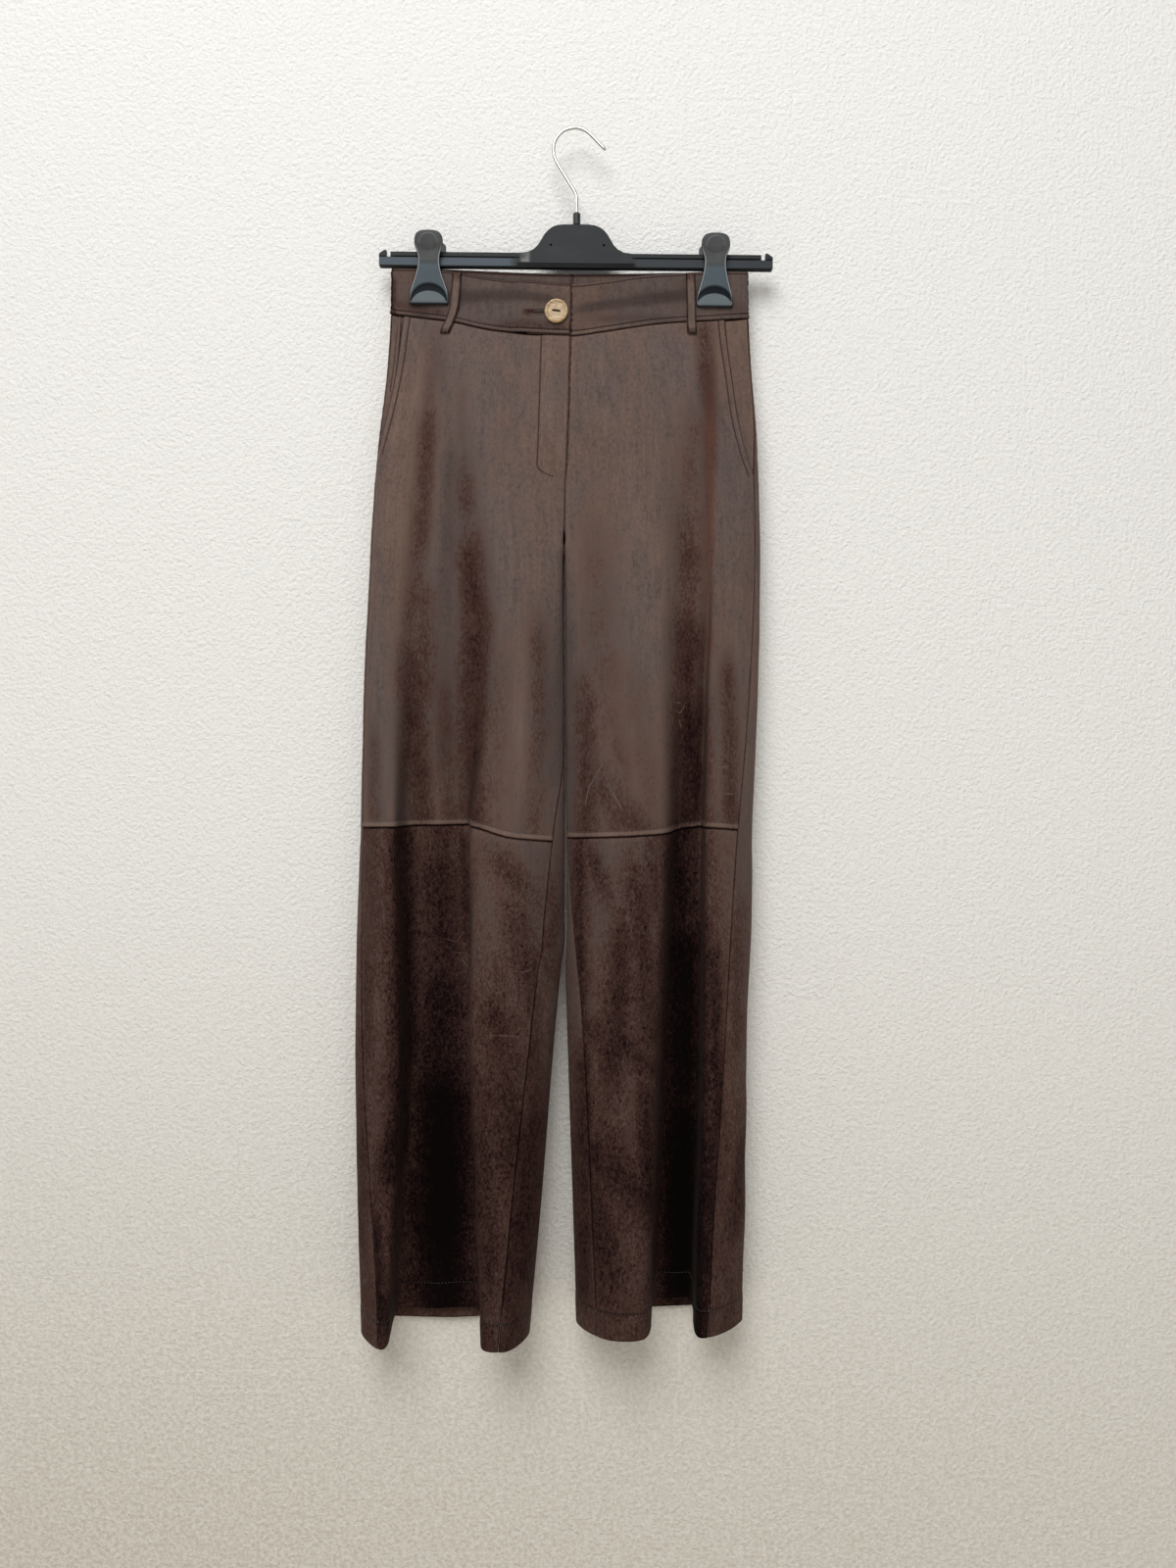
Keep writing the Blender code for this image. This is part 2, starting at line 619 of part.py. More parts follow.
def make_band():
    side = STATIONS.index("outer")
    sewn = ("start", "bottom")
    cols = [band_column(LEFT, side, band_top_front, band_seam_front)]
    cols += [band_column(LEFT, s, band_top_front, band_seam_front) for s in BAND_MARKS[:10]]
    cols += [band_column_at(x * MM, overlap_lift(x * MM)) for x in (-68, -60, -52, -44, -33, -22, -12)]
    cols.append(band_column_at(OVERLAP_END, overlap_lift(OVERLAP_END)))
    over = cloth_piece("waistband_front_left", trimmed([list(r) for r in zip(*cols)], sewn),
                       BAND_CLOTH, BAND_FINISH)

    cols = [band_column(RIGHT, side, band_top_front, band_seam_front)]
    cols += [band_column(RIGHT, s, band_top_front, band_seam_front) for s in BAND_MARKS]
    cols += [band_column_at(x * MM, 0.0) for x in (18, 7, -14, -25, -36)]
    cols.append(band_column_at(UNDERLAP_END, 0.0))
    cloth_piece("waistband_front_right", trimmed([list(r) for r in zip(*cols)], sewn), BAND_CLOTH,
                BAND_FINISH, flip=True)

    for leg in LEGS:
        stations = [BACK_IN + i / 4 for i in range(9)] + [len(STATIONS)]
        cols = [band_column(leg, s, band_top_back, band_seam_back) for s in stations]
        cloth_piece(f"waistband_back_{leg.side}",
                    trimmed([list(r) for r in zip(*cols)], ("start", "end", "bottom")), BAND_CLOTH,
                    BAND_FINISH, flip=leg.side == "right")
    return over


# ---------------------------------------------------------------- belt loops

Loop = namedtuple("Loop", "name top bend foot")
FRONT_LOOPS = (  # middle of the strip at its top, under the clip's foot and at its own foot (mm)
    Loop("belt_loop_front_left", (-114.4, -140.0), (-116.4, -172.0), (-125.8, -200.5)),
    Loop("belt_loop_front_right", (110.4, -140.6), (110.3, -172.0), (110.9, -201.0)),
)
LOOP_STEPS = 9
LOOP_STAND = 1.8 * MM  # the loop's middle stands off the band


def loop_lift(share):
    return BAND_CLOTH + SEAM_GAP + LOOP_STAND * math.sin(math.pi * share) ** 2


def make_loops():
    for loop in FRONT_LOOPS:
        middle = curve([(-p[1] * MM, p[0] * MM) for p in (loop.top, loop.bend, loop.foot)])
        grid = []
        for r in range(LOOP_STEPS + 1):
            share = r / LOOP_STEPS
            z = (loop.top[1] + (loop.foot[1] - loop.top[1]) * share) * MM
            line = []
            for side in (-1, 0, 1):
                x = middle(-z) + side * 0.5 * LOOP_WIDTH
                line.append(front_spot(x, z, loop_lift(share))[0])
            grid.append(line)
        cloth_piece(loop.name, grid, LOOP_CLOTH, LOOP_FINISH)
    for leg in LEGS:
        back_loop(f"belt_loop_back_{leg.side}", leg, BACK_MID)
    back_loop("belt_loop_back_middle", LEFT, None)


def back_loop(name, leg, station):
    """A loop on the back: its middle lies at a station, or on the centre seam."""
    grid = []
    for r in range(LOOP_STEPS + 1):
        share = r / LOOP_STEPS
        z = (-139.8 - 60.0 * share) * MM
        if station is None:
            middle = leg.marks(z)[3]
            half = leg.marks(z)[0][BACK_IN].y
        else:
            middle = leg.skin(station, z).x
            half = leg.skin(station, z).y
        y = half + loop_lift(share)
        grid.append([Vector((middle - side * 0.5 * LOOP_WIDTH, y, z)) for side in (-1, 0, 1)])
    cloth_piece(name, grid, LOOP_CLOTH, LOOP_FINISH)


# ---------------------------------------------------------------- button

def cutter_box(name, size, place):
    bm = bmesh.new()
    bmesh.ops.create_cube(bm, size=1.0)
    bmesh.ops.scale(bm, vec=size, verts=bm.verts)
    mesh = bpy.data.meshes.new(name)
    bm.to_mesh(mesh)
    bm.free()
    return hidden_cutter(name, mesh, place)


def cutter_round(name, radius, depth, place):
    bm = bmesh.new()
    bmesh.ops.create_cone(bm, cap_ends=True, segments=16, radius1=radius, radius2=radius, depth=depth)
    bmesh.ops.rotate(bm, verts=bm.verts, matrix=Matrix.Rotation(math.pi / 2, 3, "X"))
    mesh = bpy.data.meshes.new(name)
    bm.to_mesh(mesh)
    bm.free()
    return hidden_cutter(name, mesh, place)


def hidden_cutter(name, mesh, place):
    made = bpy.data.objects.new(name, mesh)
    made.matrix_world = place
    made.hide_render = True
    made.display_type = "WIRE"
    cutters.objects.link(made)
    return made


def cut(target, cutter):
    made = target.modifiers.new("cut_" + cutter.name, "BOOLEAN")
    made.operation = "DIFFERENCE"
    made.object = cutter


def facing(spot, normal, turn=0.0):
    """A frame at spot whose -Y points along the outward normal, turned about it."""
    back = -normal.normalized()
    right = back.cross(Vector((0, 0, 1))).normalized()
    up = right.cross(back)
    frame = Matrix((right, back, up)).transposed().to_4x4()
    frame.translation = spot
    return frame @ Matrix.Rotation(math.radians(turn), 4, "Y")


def make_button(over):
    """A wooden disc on the overlap, with its shank through the buttonhole to the underlap."""
    x, z = BUTTON_AT
    skin, normal = front_spot(x, z)
    outer = OVERLAP_LIFT + BAND_CLOTH
    hole_middle = 0.5 * (BUTTONHOLE_ENDS[0] + BUTTONHOLE_ENDS[1])
    slit, slit_normal = front_spot(hole_middle, z, outer)
    slit_length = BUTTONHOLE_ENDS[1] - BUTTONHOLE_ENDS[0]
    shank_radius = 1.5 * MM
    through = 6.0 * MM
    cut(over, cutter_box("buttonhole_slit", (slit_length, 2.6 * MM, 1.2 * MM), facing(slit, slit_normal)))
    cut(over, cutter_round("buttonhole_eye", shank_radius + 0.5 * MM, through,
                           facing(skin + normal * outer, normal)))

    shank_from = BAND_CLOTH + SEAM_GAP
    face_back = outer + SEAM_GAP
    bm = bmesh.new()
    bmesh.ops.create_cone(bm, cap_ends=True, segments=12, radius1=shank_radius, radius2=shank_radius,
                          depth=face_back - shank_from + 0.6 * MM)
    bmesh.ops.rotate(bm, verts=bm.verts, matrix=Matrix.Rotation(math.pi / 2, 3, "X"))
    shank_mesh = bpy.data.meshes.new("button_shank")
    bm.to_mesh(shank_mesh)
    bm.free()
    shank_middle = 0.5 * (shank_from + face_back + 0.6 * MM)
    shank = hidden_cutter("button_shank", shank_mesh, facing(skin + normal * shank_middle, normal))

    bm = bmesh.new()
    bmesh.ops.create_cone(bm, cap_ends=True, segments=32, radius1=0.5, radius2=0.5, depth=BUTTON_THICK)
    bmesh.ops.rotate(bm, verts=bm.verts, matrix=Matrix.Rotation(math.pi / 2, 3, "X"))
    bmesh.ops.scale(bm, vec=(BUTTON_ACROSS, 1.0, BUTTON_HIGH), verts=bm.verts)
    mesh = bpy.data.meshes.new("button")
    bm.to_mesh(mesh)
    bm.free()
    button = link("button", mesh, WOOD)
    button.matrix_world = facing(skin + normal * (face_back + 0.5 * BUTTON_THICK), normal)
    rounded = button.modifiers.new("rounded", "BEVEL")
    rounded.width = 1.1 * MM
    rounded.segments = 2
    rounded.limit_method = "ANGLE"
    joined = button.modifiers.new("shank", "BOOLEAN")
    joined.operation = "UNION"
    joined.object = shank
    slot_depth = 1.6 * MM
    slot_spot = skin + normal * (face_back + BUTTON_THICK)
    cut(button, cutter_box("button_slot", (7.4 * MM, slot_depth, 1.5 * MM), facing(slot_spot, normal, -4.0)))


# ---------------------------------------------------------------- hanger

HANGER_PLACE = Matrix.Translation((0, 0, -BAR_DROP)) @ Matrix.Rotation(math.radians(BAR_TILT), 4, "Y")
BODY_TOP = 34.8 * MM  # above the bar's middle
BODY_FOOT = 54.5 * MM
SHOULDER = (  # (mm from the centre, mm above the bar's middle), from the crown down into the bar
    (12.0, 34.8), (18.0, 34.1), (23.0, 32.2), (27.0, 29.2), (30.5, 25.2), (33.5, 20.0), (36.5, 15.0),
    (40.5, 10.9), (46.0, 8.1),
)
NOTCH_AT = 181.0 * MM
NOTCH_WIDTH = 4.0 * MM
NOTCH_DEPTH = 5.0 * MM
TOOTH_RISE = 1.5 * MM
GROOVE_HEIGHT = 1.1 * MM
GROOVE_DEPTH = 0.8 * MM


def half_outline():
    """The right half of the hanger's front outline, from the middle of its top to its foot."""
    half = 0.5 * BAR_HEIGHT
    points = [(0.0, BODY_TOP)] + [(x * MM, z * MM) for x, z in SHOULDER]
    points += [
        (BODY_FOOT, half), (NOTCH_AT - NOTCH_WIDTH / 2, half),
        (NOTCH_AT - NOTCH_WIDTH / 2, half - NOTCH_DEPTH), (NOTCH_AT + NOTCH_WIDTH / 2, half - NOTCH_DEPTH),
        (NOTCH_AT + NOTCH_WIDTH / 2, half + TOOTH_RISE), (NOTCH_AT + NOTCH_WIDTH, half + TOOTH_RISE),
        (0.5 * BAR_LENGTH, half - 0.002), (0.5 * BAR_LENGTH, -half + 0.001),
        (0.5 * BAR_LENGTH - 0.001, -half),
    ]
    return points


def make_bar():
    """Bar and middle body, one moulding, with a groove along the bar on both faces."""
    right = half_outline()
    left = [(-x, z) for x, z in reversed(right[1:])]
    outline = right + left
    shape = bpy.data.curves.new("hanger_outline", "CURVE")
    shape.dimensions = "2D"
    shape.fill_mode = "BOTH"
    shape.extrude = 0.5 * BAR_DEPTH
    spline = shape.splines.new("POLY")
    spline.points.add(len(outline) - 1)
    for point, (x, z) in zip(spline.points, outline):
        point.co = (x, z, 0.0, 1.0)
    spline.use_cyclic_u = True
    drawn = bpy.data.objects.new("hanger_outline", shape)
    parts.objects.link(drawn)
    drawn.matrix_world = HANGER_PLACE @ Matrix.Rotation(math.pi / 2, 4, "X")
    bar = solid_of(drawn, "hanger_bar", PLASTIC)
    groove_from = 0.5 * BAR_HEIGHT - 4.5 * MM
    for face in (-1, 1):
        for end in (-1, 1):
            middle = end * 0.5 * (BODY_FOOT + NOTCH_AT - 0.006)
            place = HANGER_PLACE @ Matrix.Translation((middle, face * 0.5 * BAR_DEPTH, groove_from))
            size = (NOTCH_AT - 0.006 - BODY_FOOT, 2 * GROOVE_DEPTH, GROOVE_HEIGHT)
            cut(bar, cutter_box(f"groove_{face}_{end}", size, place))
    return bar


def solid_of(drawn, name, finish):
    """A curve object made into one welded mesh object in its own place."""
    bpy.context.view_layer.update()
    seen = drawn.evaluated_get(bpy.context.evaluated_depsgraph_get())
    mesh = bpy.data.meshes.new_from_object(seen)
    bm = bmesh.new()
    bm.from_mesh(mesh)
    bmesh.ops.remove_doubles(bm, verts=bm.verts, dist=0.00002)
    bmesh.ops.dissolve_limit(bm, angle_limit=math.radians(0.05), verts=bm.verts, edges=bm.edges)
    bmesh.ops.recalc_face_normals(bm, faces=bm.faces)
    bm.to_mesh(mesh)
    bm.free()
    mesh.name = name
    mesh.materials.clear()
    made = link(name, mesh, finish)
    made.matrix_world = drawn.matrix_world
    bpy.data.objects.remove(drawn, do_unlink=True)
    return made


HOOK_ROUTE = (  # middle of the wire (mm across, mm high), from the hanger up and round to the tip
    (0.8, -81.0), (0.8, -72.0), (0.6, -65.5), (-1.4, -60.0), (-6.0, -52.5), (-13.0, -41.0), (-19.0, -31.0),
    (-21.4, -23.5), (-21.3, -15.0), (-18.0, -7.6), (-11.4, -1.0), (-0.6, 1.7), (8.6, -0.7),
    (14.6, -5.3), (21.5, -12.4), (28.8, -20.0),
)
HOOK_STEPS = 2


def smooth_route(points, steps):
    """Points on one smooth curve through the route's own points."""
    spots = [Vector(p) for p in points]
    ends = [spots[0] * 2 - spots[1]] + spots + [spots[-1] * 2 - spots[-2]]
    made = []
    for i in range(1, len(ends) - 2):
        a, b, c, d = ends[i - 1:i + 3]
        for k in range(steps):
            t = k / steps
            made.append(0.5 * ((2 * b) + (c - a) * t + (2 * a - 5 * b + 4 * c - d) * t * t
                               + (3 * b - a - 3 * c + d) * t ** 3))
    return made + [spots[-1]]


def make_hook():
    wire = bpy.data.curves.new("hook_wire", "CURVE")
    wire.dimensions = "3D"
    wire.bevel_depth = 0.5 * HOOK_WIRE
    wire.bevel_resolution = 2
    wire.use_fill_caps = True
    route = smooth_route(HOOK_ROUTE, HOOK_STEPS)
    spline = wire.splines.new("POLY")
    spline.points.add(len(route) - 1)
    for point, spot in zip(spline.points, route):
        point.co = (spot.x * MM, 0.0, spot.y * MM, 1.0)
    drawn = bpy.data.objects.new("hook_wire", wire)
    parts.objects.link(drawn)
    solid_of(drawn, "hook", STEEL)


def make_ferrule():
    """The socket that holds the wire, standing on the body's crown."""
    foot = -BAR_DROP + BODY_TOP + SEAM_GAP
    top = -81.0 * MM - SEAM_GAP
    bpy.ops.mesh.primitive_cylinder_add(vertices=20, radius=3.6 * MM, depth=top - foot,
                                        location=(0.8 * MM, 0, 0.5 * (top + foot)))
    made = bpy.context.object
    made.name = "hook_socket"
    made.data.materials.append(PLASTIC)
    for holder in list(made.users_collection):
        holder.objects.unlink(made)
    parts.objects.link(made)
    rounded = made.modifiers.new("rounded", "BEVEL")
    rounded.width = 0.5 * MM
    rounded.segments = 1


JawRow = namedtuple("JawRow", "rise half_width ahead thickness")
JAW = (  # one lever of a clip, top to foot, measured from the bar's middle (mm)
    JawRow(22.9, 9.0, 13.2, 2.2), JawRow(21.8, 12.2, 13.0, 3.6), JawRow(18.3, 14.0, 12.4, 4.0),
    JawRow(11.6, 14.2, 10.8, 4.2), JawRow(5.0, 12.6, 8.4, 4.6), JawRow(-3.0, 11.2, 7.6, 4.6),
    JawRow(-11.0, 11.6, 7.2, 4.2), JawRow(-20.0, 13.8, 6.2, 4.0), JawRow(-29.0, 16.4, 5.2, 3.8),
    JawRow(-37.0, 18.2, 4.7, 3.6), JawRow(-41.5, 18.4, 4.6, 3.4), JawRow(-44.0, 17.0, 4.5, 2.6),
)
CLIPS = {"left": -141.2 * MM, "right": 134.0 * MM}
CORNERS = 12


def jaw_mesh(name, side):
    """A lever as a loft of rounded slabs, one for each row."""
    bm = bmesh.new()
    rings = []
    for row in JAW:
        ring = []
        for i in range(CORNERS):
            angle = 2 * math.pi * (i + 0.5) / CORNERS
            x = math.copysign(abs(math.cos(angle)) ** 0.35, math.cos(angle)) * row.half_width
            y = math.copysign(abs(math.sin(angle)) ** 0.6, math.sin(angle)) * 0.5 * row.thickness
            ring.append(bm.verts.new((x * MM, (side * row.ahead + y) * MM, row.rise * MM)))
        rings.append(ring)
    for upper, lower in zip(rings, rings[1:]):
        for i in range(CORNERS):
            j = (i + 1) % CORNERS
            bm.faces.new((upper[i], upper[j], lower[j], lower[i]))
    bm.faces.new(rings[0][::-1])
    bm.faces.new(rings[-1])
    bmesh.ops.recalc_face_normals(bm, faces=bm.faces)
    mesh = bpy.data.meshes.new(name)
    bm.to_mesh(mesh)
    bm.free()
    mesh.shade_smooth()
    return mesh


def make_clip(side, across):
    place = HANGER_PLACE @ Matrix.Translation((across, 0, 0))
    for name, direction in (("front", -1), ("back", 1)):
        jaw = link(f"clip_{side}_{name}_jaw", jaw_mesh(f"clip_{side}_{name}_jaw", direction), CLIP_PLASTIC)
        jaw.matrix_world = place
    make_saddle(side, place)


SADDLE_WIDTH = 16.0 * MM
SADDLE_WALL = 1.5 * MM


def make_saddle(side, place):
    """The clip's slider, which straddles the bar between the two levers."""
    inner = 0.5 * BAR_DEPTH + SEAM_GAP
    outer = inner + SADDLE_WALL
    roof = 0.5 * BAR_HEIGHT + SEAM_GAP
    foot = -5.6 * MM
    outline = [(-outer, roof + SADDLE_WALL), (outer, roof + SADDLE_WALL), (outer, foot), (inner, foot),
               (inner, roof), (-inner, roof), (-inner, foot), (-outer, foot)]
    shape = bpy.data.curves.new(f"saddle_{side}", "CURVE")
    shape.dimensions = "2D"
    shape.fill_mode = "BOTH"
    shape.extrude = 0.5 * SADDLE_WIDTH
    spline = shape.splines.new("POLY")
    spline.points.add(len(outline) - 1)
    for point, (y, z) in zip(spline.points, outline):
        point.co = (y, z, 0.0, 1.0)
    spline.use_cyclic_u = True
    drawn = bpy.data.objects.new(f"saddle_{side}", shape)
    parts.objects.link(drawn)
    drawn.matrix_world = place @ Matrix(((0, 0, 1, 0), (1, 0, 0, 0), (0, 1, 0, 0), (0, 0, 0, 1)))
    solid_of(drawn, f"clip_{side}_saddle", CLIP_PLASTIC)


# ---------------------------------------------------------------- assembly

make_legs()
for one_leg in LEGS:
    make_pocket_side(one_leg)
make_fly()
overlap = make_band()
make_loops()
make_button(overlap)
make_bar()
make_hook()
make_ferrule()
for clip_side, clip_across in CLIPS.items():
    make_clip(clip_side, clip_across)
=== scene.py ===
# %% [markdown]
# # Faux leather trousers on a clip hanger
# High-waisted trousers hang by their waistband from a black plastic clip hanger. The cloth is a
# thin faux suede with a worn, mottled face. The hard parts come ready as solids from the packed
# model. The cloth is made again here as fine thin shells on the same sections, so that folds,
# seams, stitching and nap can be as small as they really are.

# %% Load the frame
import math
from collections import namedtuple

import bpy
import numpy as np
from mathutils import Matrix, Vector


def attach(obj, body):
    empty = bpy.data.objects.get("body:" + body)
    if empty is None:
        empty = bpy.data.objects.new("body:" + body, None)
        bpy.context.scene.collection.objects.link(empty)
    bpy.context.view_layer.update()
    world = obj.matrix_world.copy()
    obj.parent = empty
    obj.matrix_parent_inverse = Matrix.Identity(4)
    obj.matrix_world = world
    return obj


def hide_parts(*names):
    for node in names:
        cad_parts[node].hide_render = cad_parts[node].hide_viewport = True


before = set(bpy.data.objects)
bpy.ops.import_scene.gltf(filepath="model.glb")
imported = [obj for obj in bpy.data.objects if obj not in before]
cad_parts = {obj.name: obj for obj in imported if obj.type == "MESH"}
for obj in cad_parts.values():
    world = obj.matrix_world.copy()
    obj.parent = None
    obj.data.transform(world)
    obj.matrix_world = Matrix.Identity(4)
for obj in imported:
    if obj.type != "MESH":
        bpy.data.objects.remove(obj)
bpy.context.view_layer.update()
MM = 0.001
print("solids loaded:", len(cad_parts))

# %% [markdown]
# ## Sections of the garment
# Each leg is a ring of cloth. At every height the ring passes eleven marks, its folds: out at the
# side, over the outer fold, down into the valley, up over the inner fold, round the inside and
# flat across the back. Short tables give where each mark lies, and smooth curves join the rows.

# %% Sizes
CLOTH = 1.2 * MM
BAND_CLOTH = 2.0 * MM
LOOP_CLOTH = 1.4 * MM
LOOP_WIDTH = 9.2 * MM
LOOP_LENGTH = 60.0 * MM
SEAM_GAP = 0.3 * MM
CROTCH_TOP = -400.0 * MM
CROTCH_FOOT = -432.0 * MM
LEG_CLEARANCE = 2.3 * MM
LEGS_PART = (-760.0 * MM, -820.0 * MM)
HEEL = 12.0 * MM
BELLY_SHARE = 0.55
FLY_FOOT = -350.0 * MM
FLY_LIFT = 1.5 * MM
OVERLAP_LIFT = BAND_CLOTH + SEAM_GAP
UNDERLAP_END = -46.0 * MM
OVERLAP_END = -4.4 * MM
HEM = {"left": -1156.5 * MM, "right": -1146.0 * MM}
HEM_RISE = 13.0 * MM

# %% Tables of the sections
# Marks 0 to 7 are outer, crest_out, valley_out, ridge, valley_in, crest_in, belly and inner. Three
# more lie on the back. Panels begin and end at these:
INNER, BACK_IN, BACK_MID, MARKS = 7, 8, 9, 11

Across = namedtuple("Across", "drop outer crest_out valley_out ridge valley_in crest_in inner")
Ahead = namedtuple("Ahead", "drop outer crest_out valley_out ridge valley_in crest_in belly inner back")
Seams = namedtuple("Seams", "drop outseam inseam")


def table_of(kind, *lines):
    """The rows of a table with named columns."""
    return tuple(kind(*line) for line in lines)


LEFT_ACROSS = table_of(
    Across,
    (134, -178.0, -160.0, -142.0, -124.0, -104.0, -80.0, -3.4),
    (172, -178.4, -160.0, -142.0, -124.0, -104.0, -80.0, -4.6),
    (190, -178.6, -158.0, -142.4, -124.2, -105.5, -81.6, -5.1),
    (240, -181.6, -160.0, -143.0, -124.2, -104.0, -80.0, -6.2),
    (300, -188.4, -161.5, -143.5, -123.9, -102.0, -77.0, -7.7),
    (360, -193.4, -164.5, -145.5, -124.4, -98.5, -73.0, -9.9),
    (425, -196.8, -167.3, -147.9, -124.9, -96.0, -70.0, -10.8),
    (550, -202.6, -172.2, -152.4, -127.2, -97.4, -73.6, -10.0),
    (680, -205.1, -173.2, -162.0, -132.3, -103.5, -93.4, -9.8),
    (780, -207.7, -171.3, -161.2, -132.5, -103.0, -93.4, -10.4),
    (810, -208.5, -170.4, -160.9, -132.5, -102.6, -93.4, -15.3),
    (840, -209.2, -169.6, -160.5, -132.6, -102.2, -93.3, -18.5),
    (900, -209.8, -168.8, -160.2, -132.7, -101.4, -93.3, -23.8),
    (1030, -207.0, -172.4, -166.5, -134.7, -97.4, -89.8, -34.0),
    (1155, -203.3, -178.9, -174.2, -135.4, -92.3, -85.2, -45.6),
)
RIGHT_ACROSS = table_of(
    Across,
    (134, 166.0, 150.0, 134.0, 118.5, 101.7, 74.0, -3.4),
    (172, 166.2, 150.0, 134.0, 118.5, 101.7, 74.0, -4.6),
    (190, 166.4, 148.4, 133.8, 118.5, 101.7, 73.3, -5.1),
    (240, 168.6, 146.0, 132.0, 117.5, 102.0, 74.0, -6.2),
    (300, 173.0, 140.7, 130.3, 117.0, 103.5, 76.2, -7.7),
    (360, 174.6, 136.6, 128.0, 115.6, 103.2, 77.0, -9.9),
    (425, 175.5, 133.6, 126.8, 115.1, 102.7, 77.8, -10.8),
    (550, 173.3, 128.5, 123.2, 112.7, 101.2, 77.6, -10.9),
    (680, 167.9, 125.8, 120.7, 110.5, 98.5, 79.2, -9.7),
    (780, 165.1, 124.4, 119.5, 107.8, 94.3, 75.6, -9.1),
    (900, 162.4, 122.8, 118.1, 103.9, 87.8, 69.1, -6.0),
    (1030, 160.0, 119.6, 115.1, 99.4, 80.8, 65.9, -1.8),
    (1155, 157.5, 115.2, 110.8, 93.8, 74.6, 62.2, 2.3),
)
AHEAD = table_of(
    Ahead,
    (134, 0.0, 0.15, 0.15, 0.2, 1.2, 5.0, 10.0, 12.0, -0.15),
    (172, 0.0, 0.3, 0.3, 0.5, 3.0, 9.0, 15.0, 17.0, -0.4),
    (190, 0.5, 2.0, 2.5, 3.5, 6.0, 12.0, 17.0, 19.0, -2.5),
    (240, 2.0, 9.0, 13.0, 15.0, 17.0, 22.0, 25.0, 26.0, -8.0),
    (300, 4.0, 18.0, 22.0, 26.0, 27.0, 29.0, 31.0, 32.0, -12.0),
    (360, 5.5, 24.0, 24.0, 28.5, 26.5, 31.5, 34.0, 33.5, -14.0),
    (425, 7.0, 29.0, 23.5, 28.0, 25.0, 34.0, 37.0, 31.0, -15.0),
    (550, 9.0, 33.0, 18.0, 25.0, 17.0, 36.0, 39.0, 14.0, -15.5),
    (680, 11.0, 37.0, 6.0, 8.0, 3.0, 39.0, 42.0, 14.0, -16.0),
    (900, 13.0, 43.0, -2.0, -3.0, -3.0, 44.5, 47.0, 14.0, -16.0),
    (1030, 14.0, 45.5, -5.0, -6.0, -5.5, 47.0, 49.0, 15.0, -16.0),
    (1155, 14.0, 48.0, -8.0, -8.5, -8.0, 49.0, 51.0, 16.0, -16.0),
)
LEFT_SEAMS = table_of(
    Seams,
    (134, 0.0, 7.0), (240, 0.0, 7.0), (322, 0.04, 7.0), (400, 0.10, 7.0),
    (432, 0.12, 7.5), (550, 0.14, 7.3), (610, 0.15, 7.0), (660, 0.16, 6.72),
    (720, 0.17, 6.53), (800, 0.22, 6.37), (900, 0.30, 6.24), (1030, 0.50, 5.98),
    (1155, 0.82, 5.65),
)
RIGHT_SEAMS = table_of(
    Seams,
    (134, 0.0, 7.0), (240, 0.0, 7.0), (344, 0.16, 7.0), (400, 0.17, 7.0),
    (432, 0.18, 7.5), (550, 0.26, 7.4), (625, 0.34, 7.2), (680, 0.41, 7.0),
    (760, 0.49, 6.78), (820, 0.54, 6.57), (900, 0.61, 6.44), (1030, 0.74, 6.34),
    (1155, 0.80, 6.23),
)

# %% Tables of the edges, across and height in millimetres
BAND_TOP_FRONT = (
    (-179, -134.4), (-150, -134.9), (-119, -137.6), (-100, -142.0), (-78, -147.5), (-40, -153.5),
    (-5, -157.0), (30, -152.5), (60, -146.0), (95, -140.8), (118, -138.4), (150, -137.8), (168, -138.0),
)
BAND_TOP_BACK = (
    (-179, -134.4), (-120, -135.2), (-60, -137.8), (0, -139.4), (60, -138.8), (118, -137.9), (168, -138.0),
)
BAND_SEAM_FRONT = (
    (-180, -179.0), (-150, -183.0), (-120, -187.5), (-78, -200.4), (-40, -206.0), (-5, -208.1),
    (25, -203.5), (55, -197.5), (80, -192.4), (107, -188.0), (140, -185.0), (168, -183.1),
)
BAND_SEAM_BACK = ((-180, -179.0), (-90, -186.0), (0, -189.0), (90, -187.0), (168, -183.1))
LEFT_POCKET = (
    (-170, -166.6), (-182, -167.0), (-200, -168.9), (-219, -170.7), (-246, -174.4), (-276, -180.2),
    (-303, -186.5), (-322, -190.8),
)
RIGHT_POCKET = (
    (-170, 144.0), (-187, 144.3), (-215, 146.3), (-246, 150.2), (-281, 154.8), (-316, 163.0), (-344, 172.6),
)
POCKET_FOOT = {"left": -322 * MM, "right": -344 * MM}
KNEE_SEAM = {"left": ((-206, -674.5), (-105, -672.0), (-60, -683.0), (-14, -688.0)),
             "right": ((-8, -684.5), (80, -680.0), (120, -674.0), (168, -678.0))}


# %% Curves through the tables
def hermite(a, b, slope_a, slope_b, span, t):
    return ((1 + 2 * t) * (1 - t) ** 2 * a + t * (1 - t) ** 2 * span * slope_a
            + t * t * (3 - 2 * t) * b + t * t * (t - 1) * span * slope_b)


def curve(points):
    """A smooth function through (x, y) pairs that never overshoots, level past both ends."""
    xs, ys = np.array(sorted(points), float).T
    steps = np.diff(ys) / np.diff(xs)
    product, total = steps[:-1] * steps[1:], steps[:-1] + steps[1:]
    inner = np.where(product > 0, 2 * product / np.where(product > 0, total, 1.0), 0.0)
    slopes = np.concatenate((steps[:1], inner, steps[-1:]))

    def value(x):
        x = np.clip(np.asarray(x, float), xs[0], xs[-1])
        i = np.clip(np.searchsorted(xs, x, side="right") - 1, 0, len(xs) - 2)
        span = xs[i + 1] - xs[i]
        return hermite(ys[i], ys[i + 1], slopes[i], slopes[i + 1], span, (x - xs[i]) / span)

    return value


def in_metres(points):
    return curve([(a * MM, b * MM) for a, b in points])


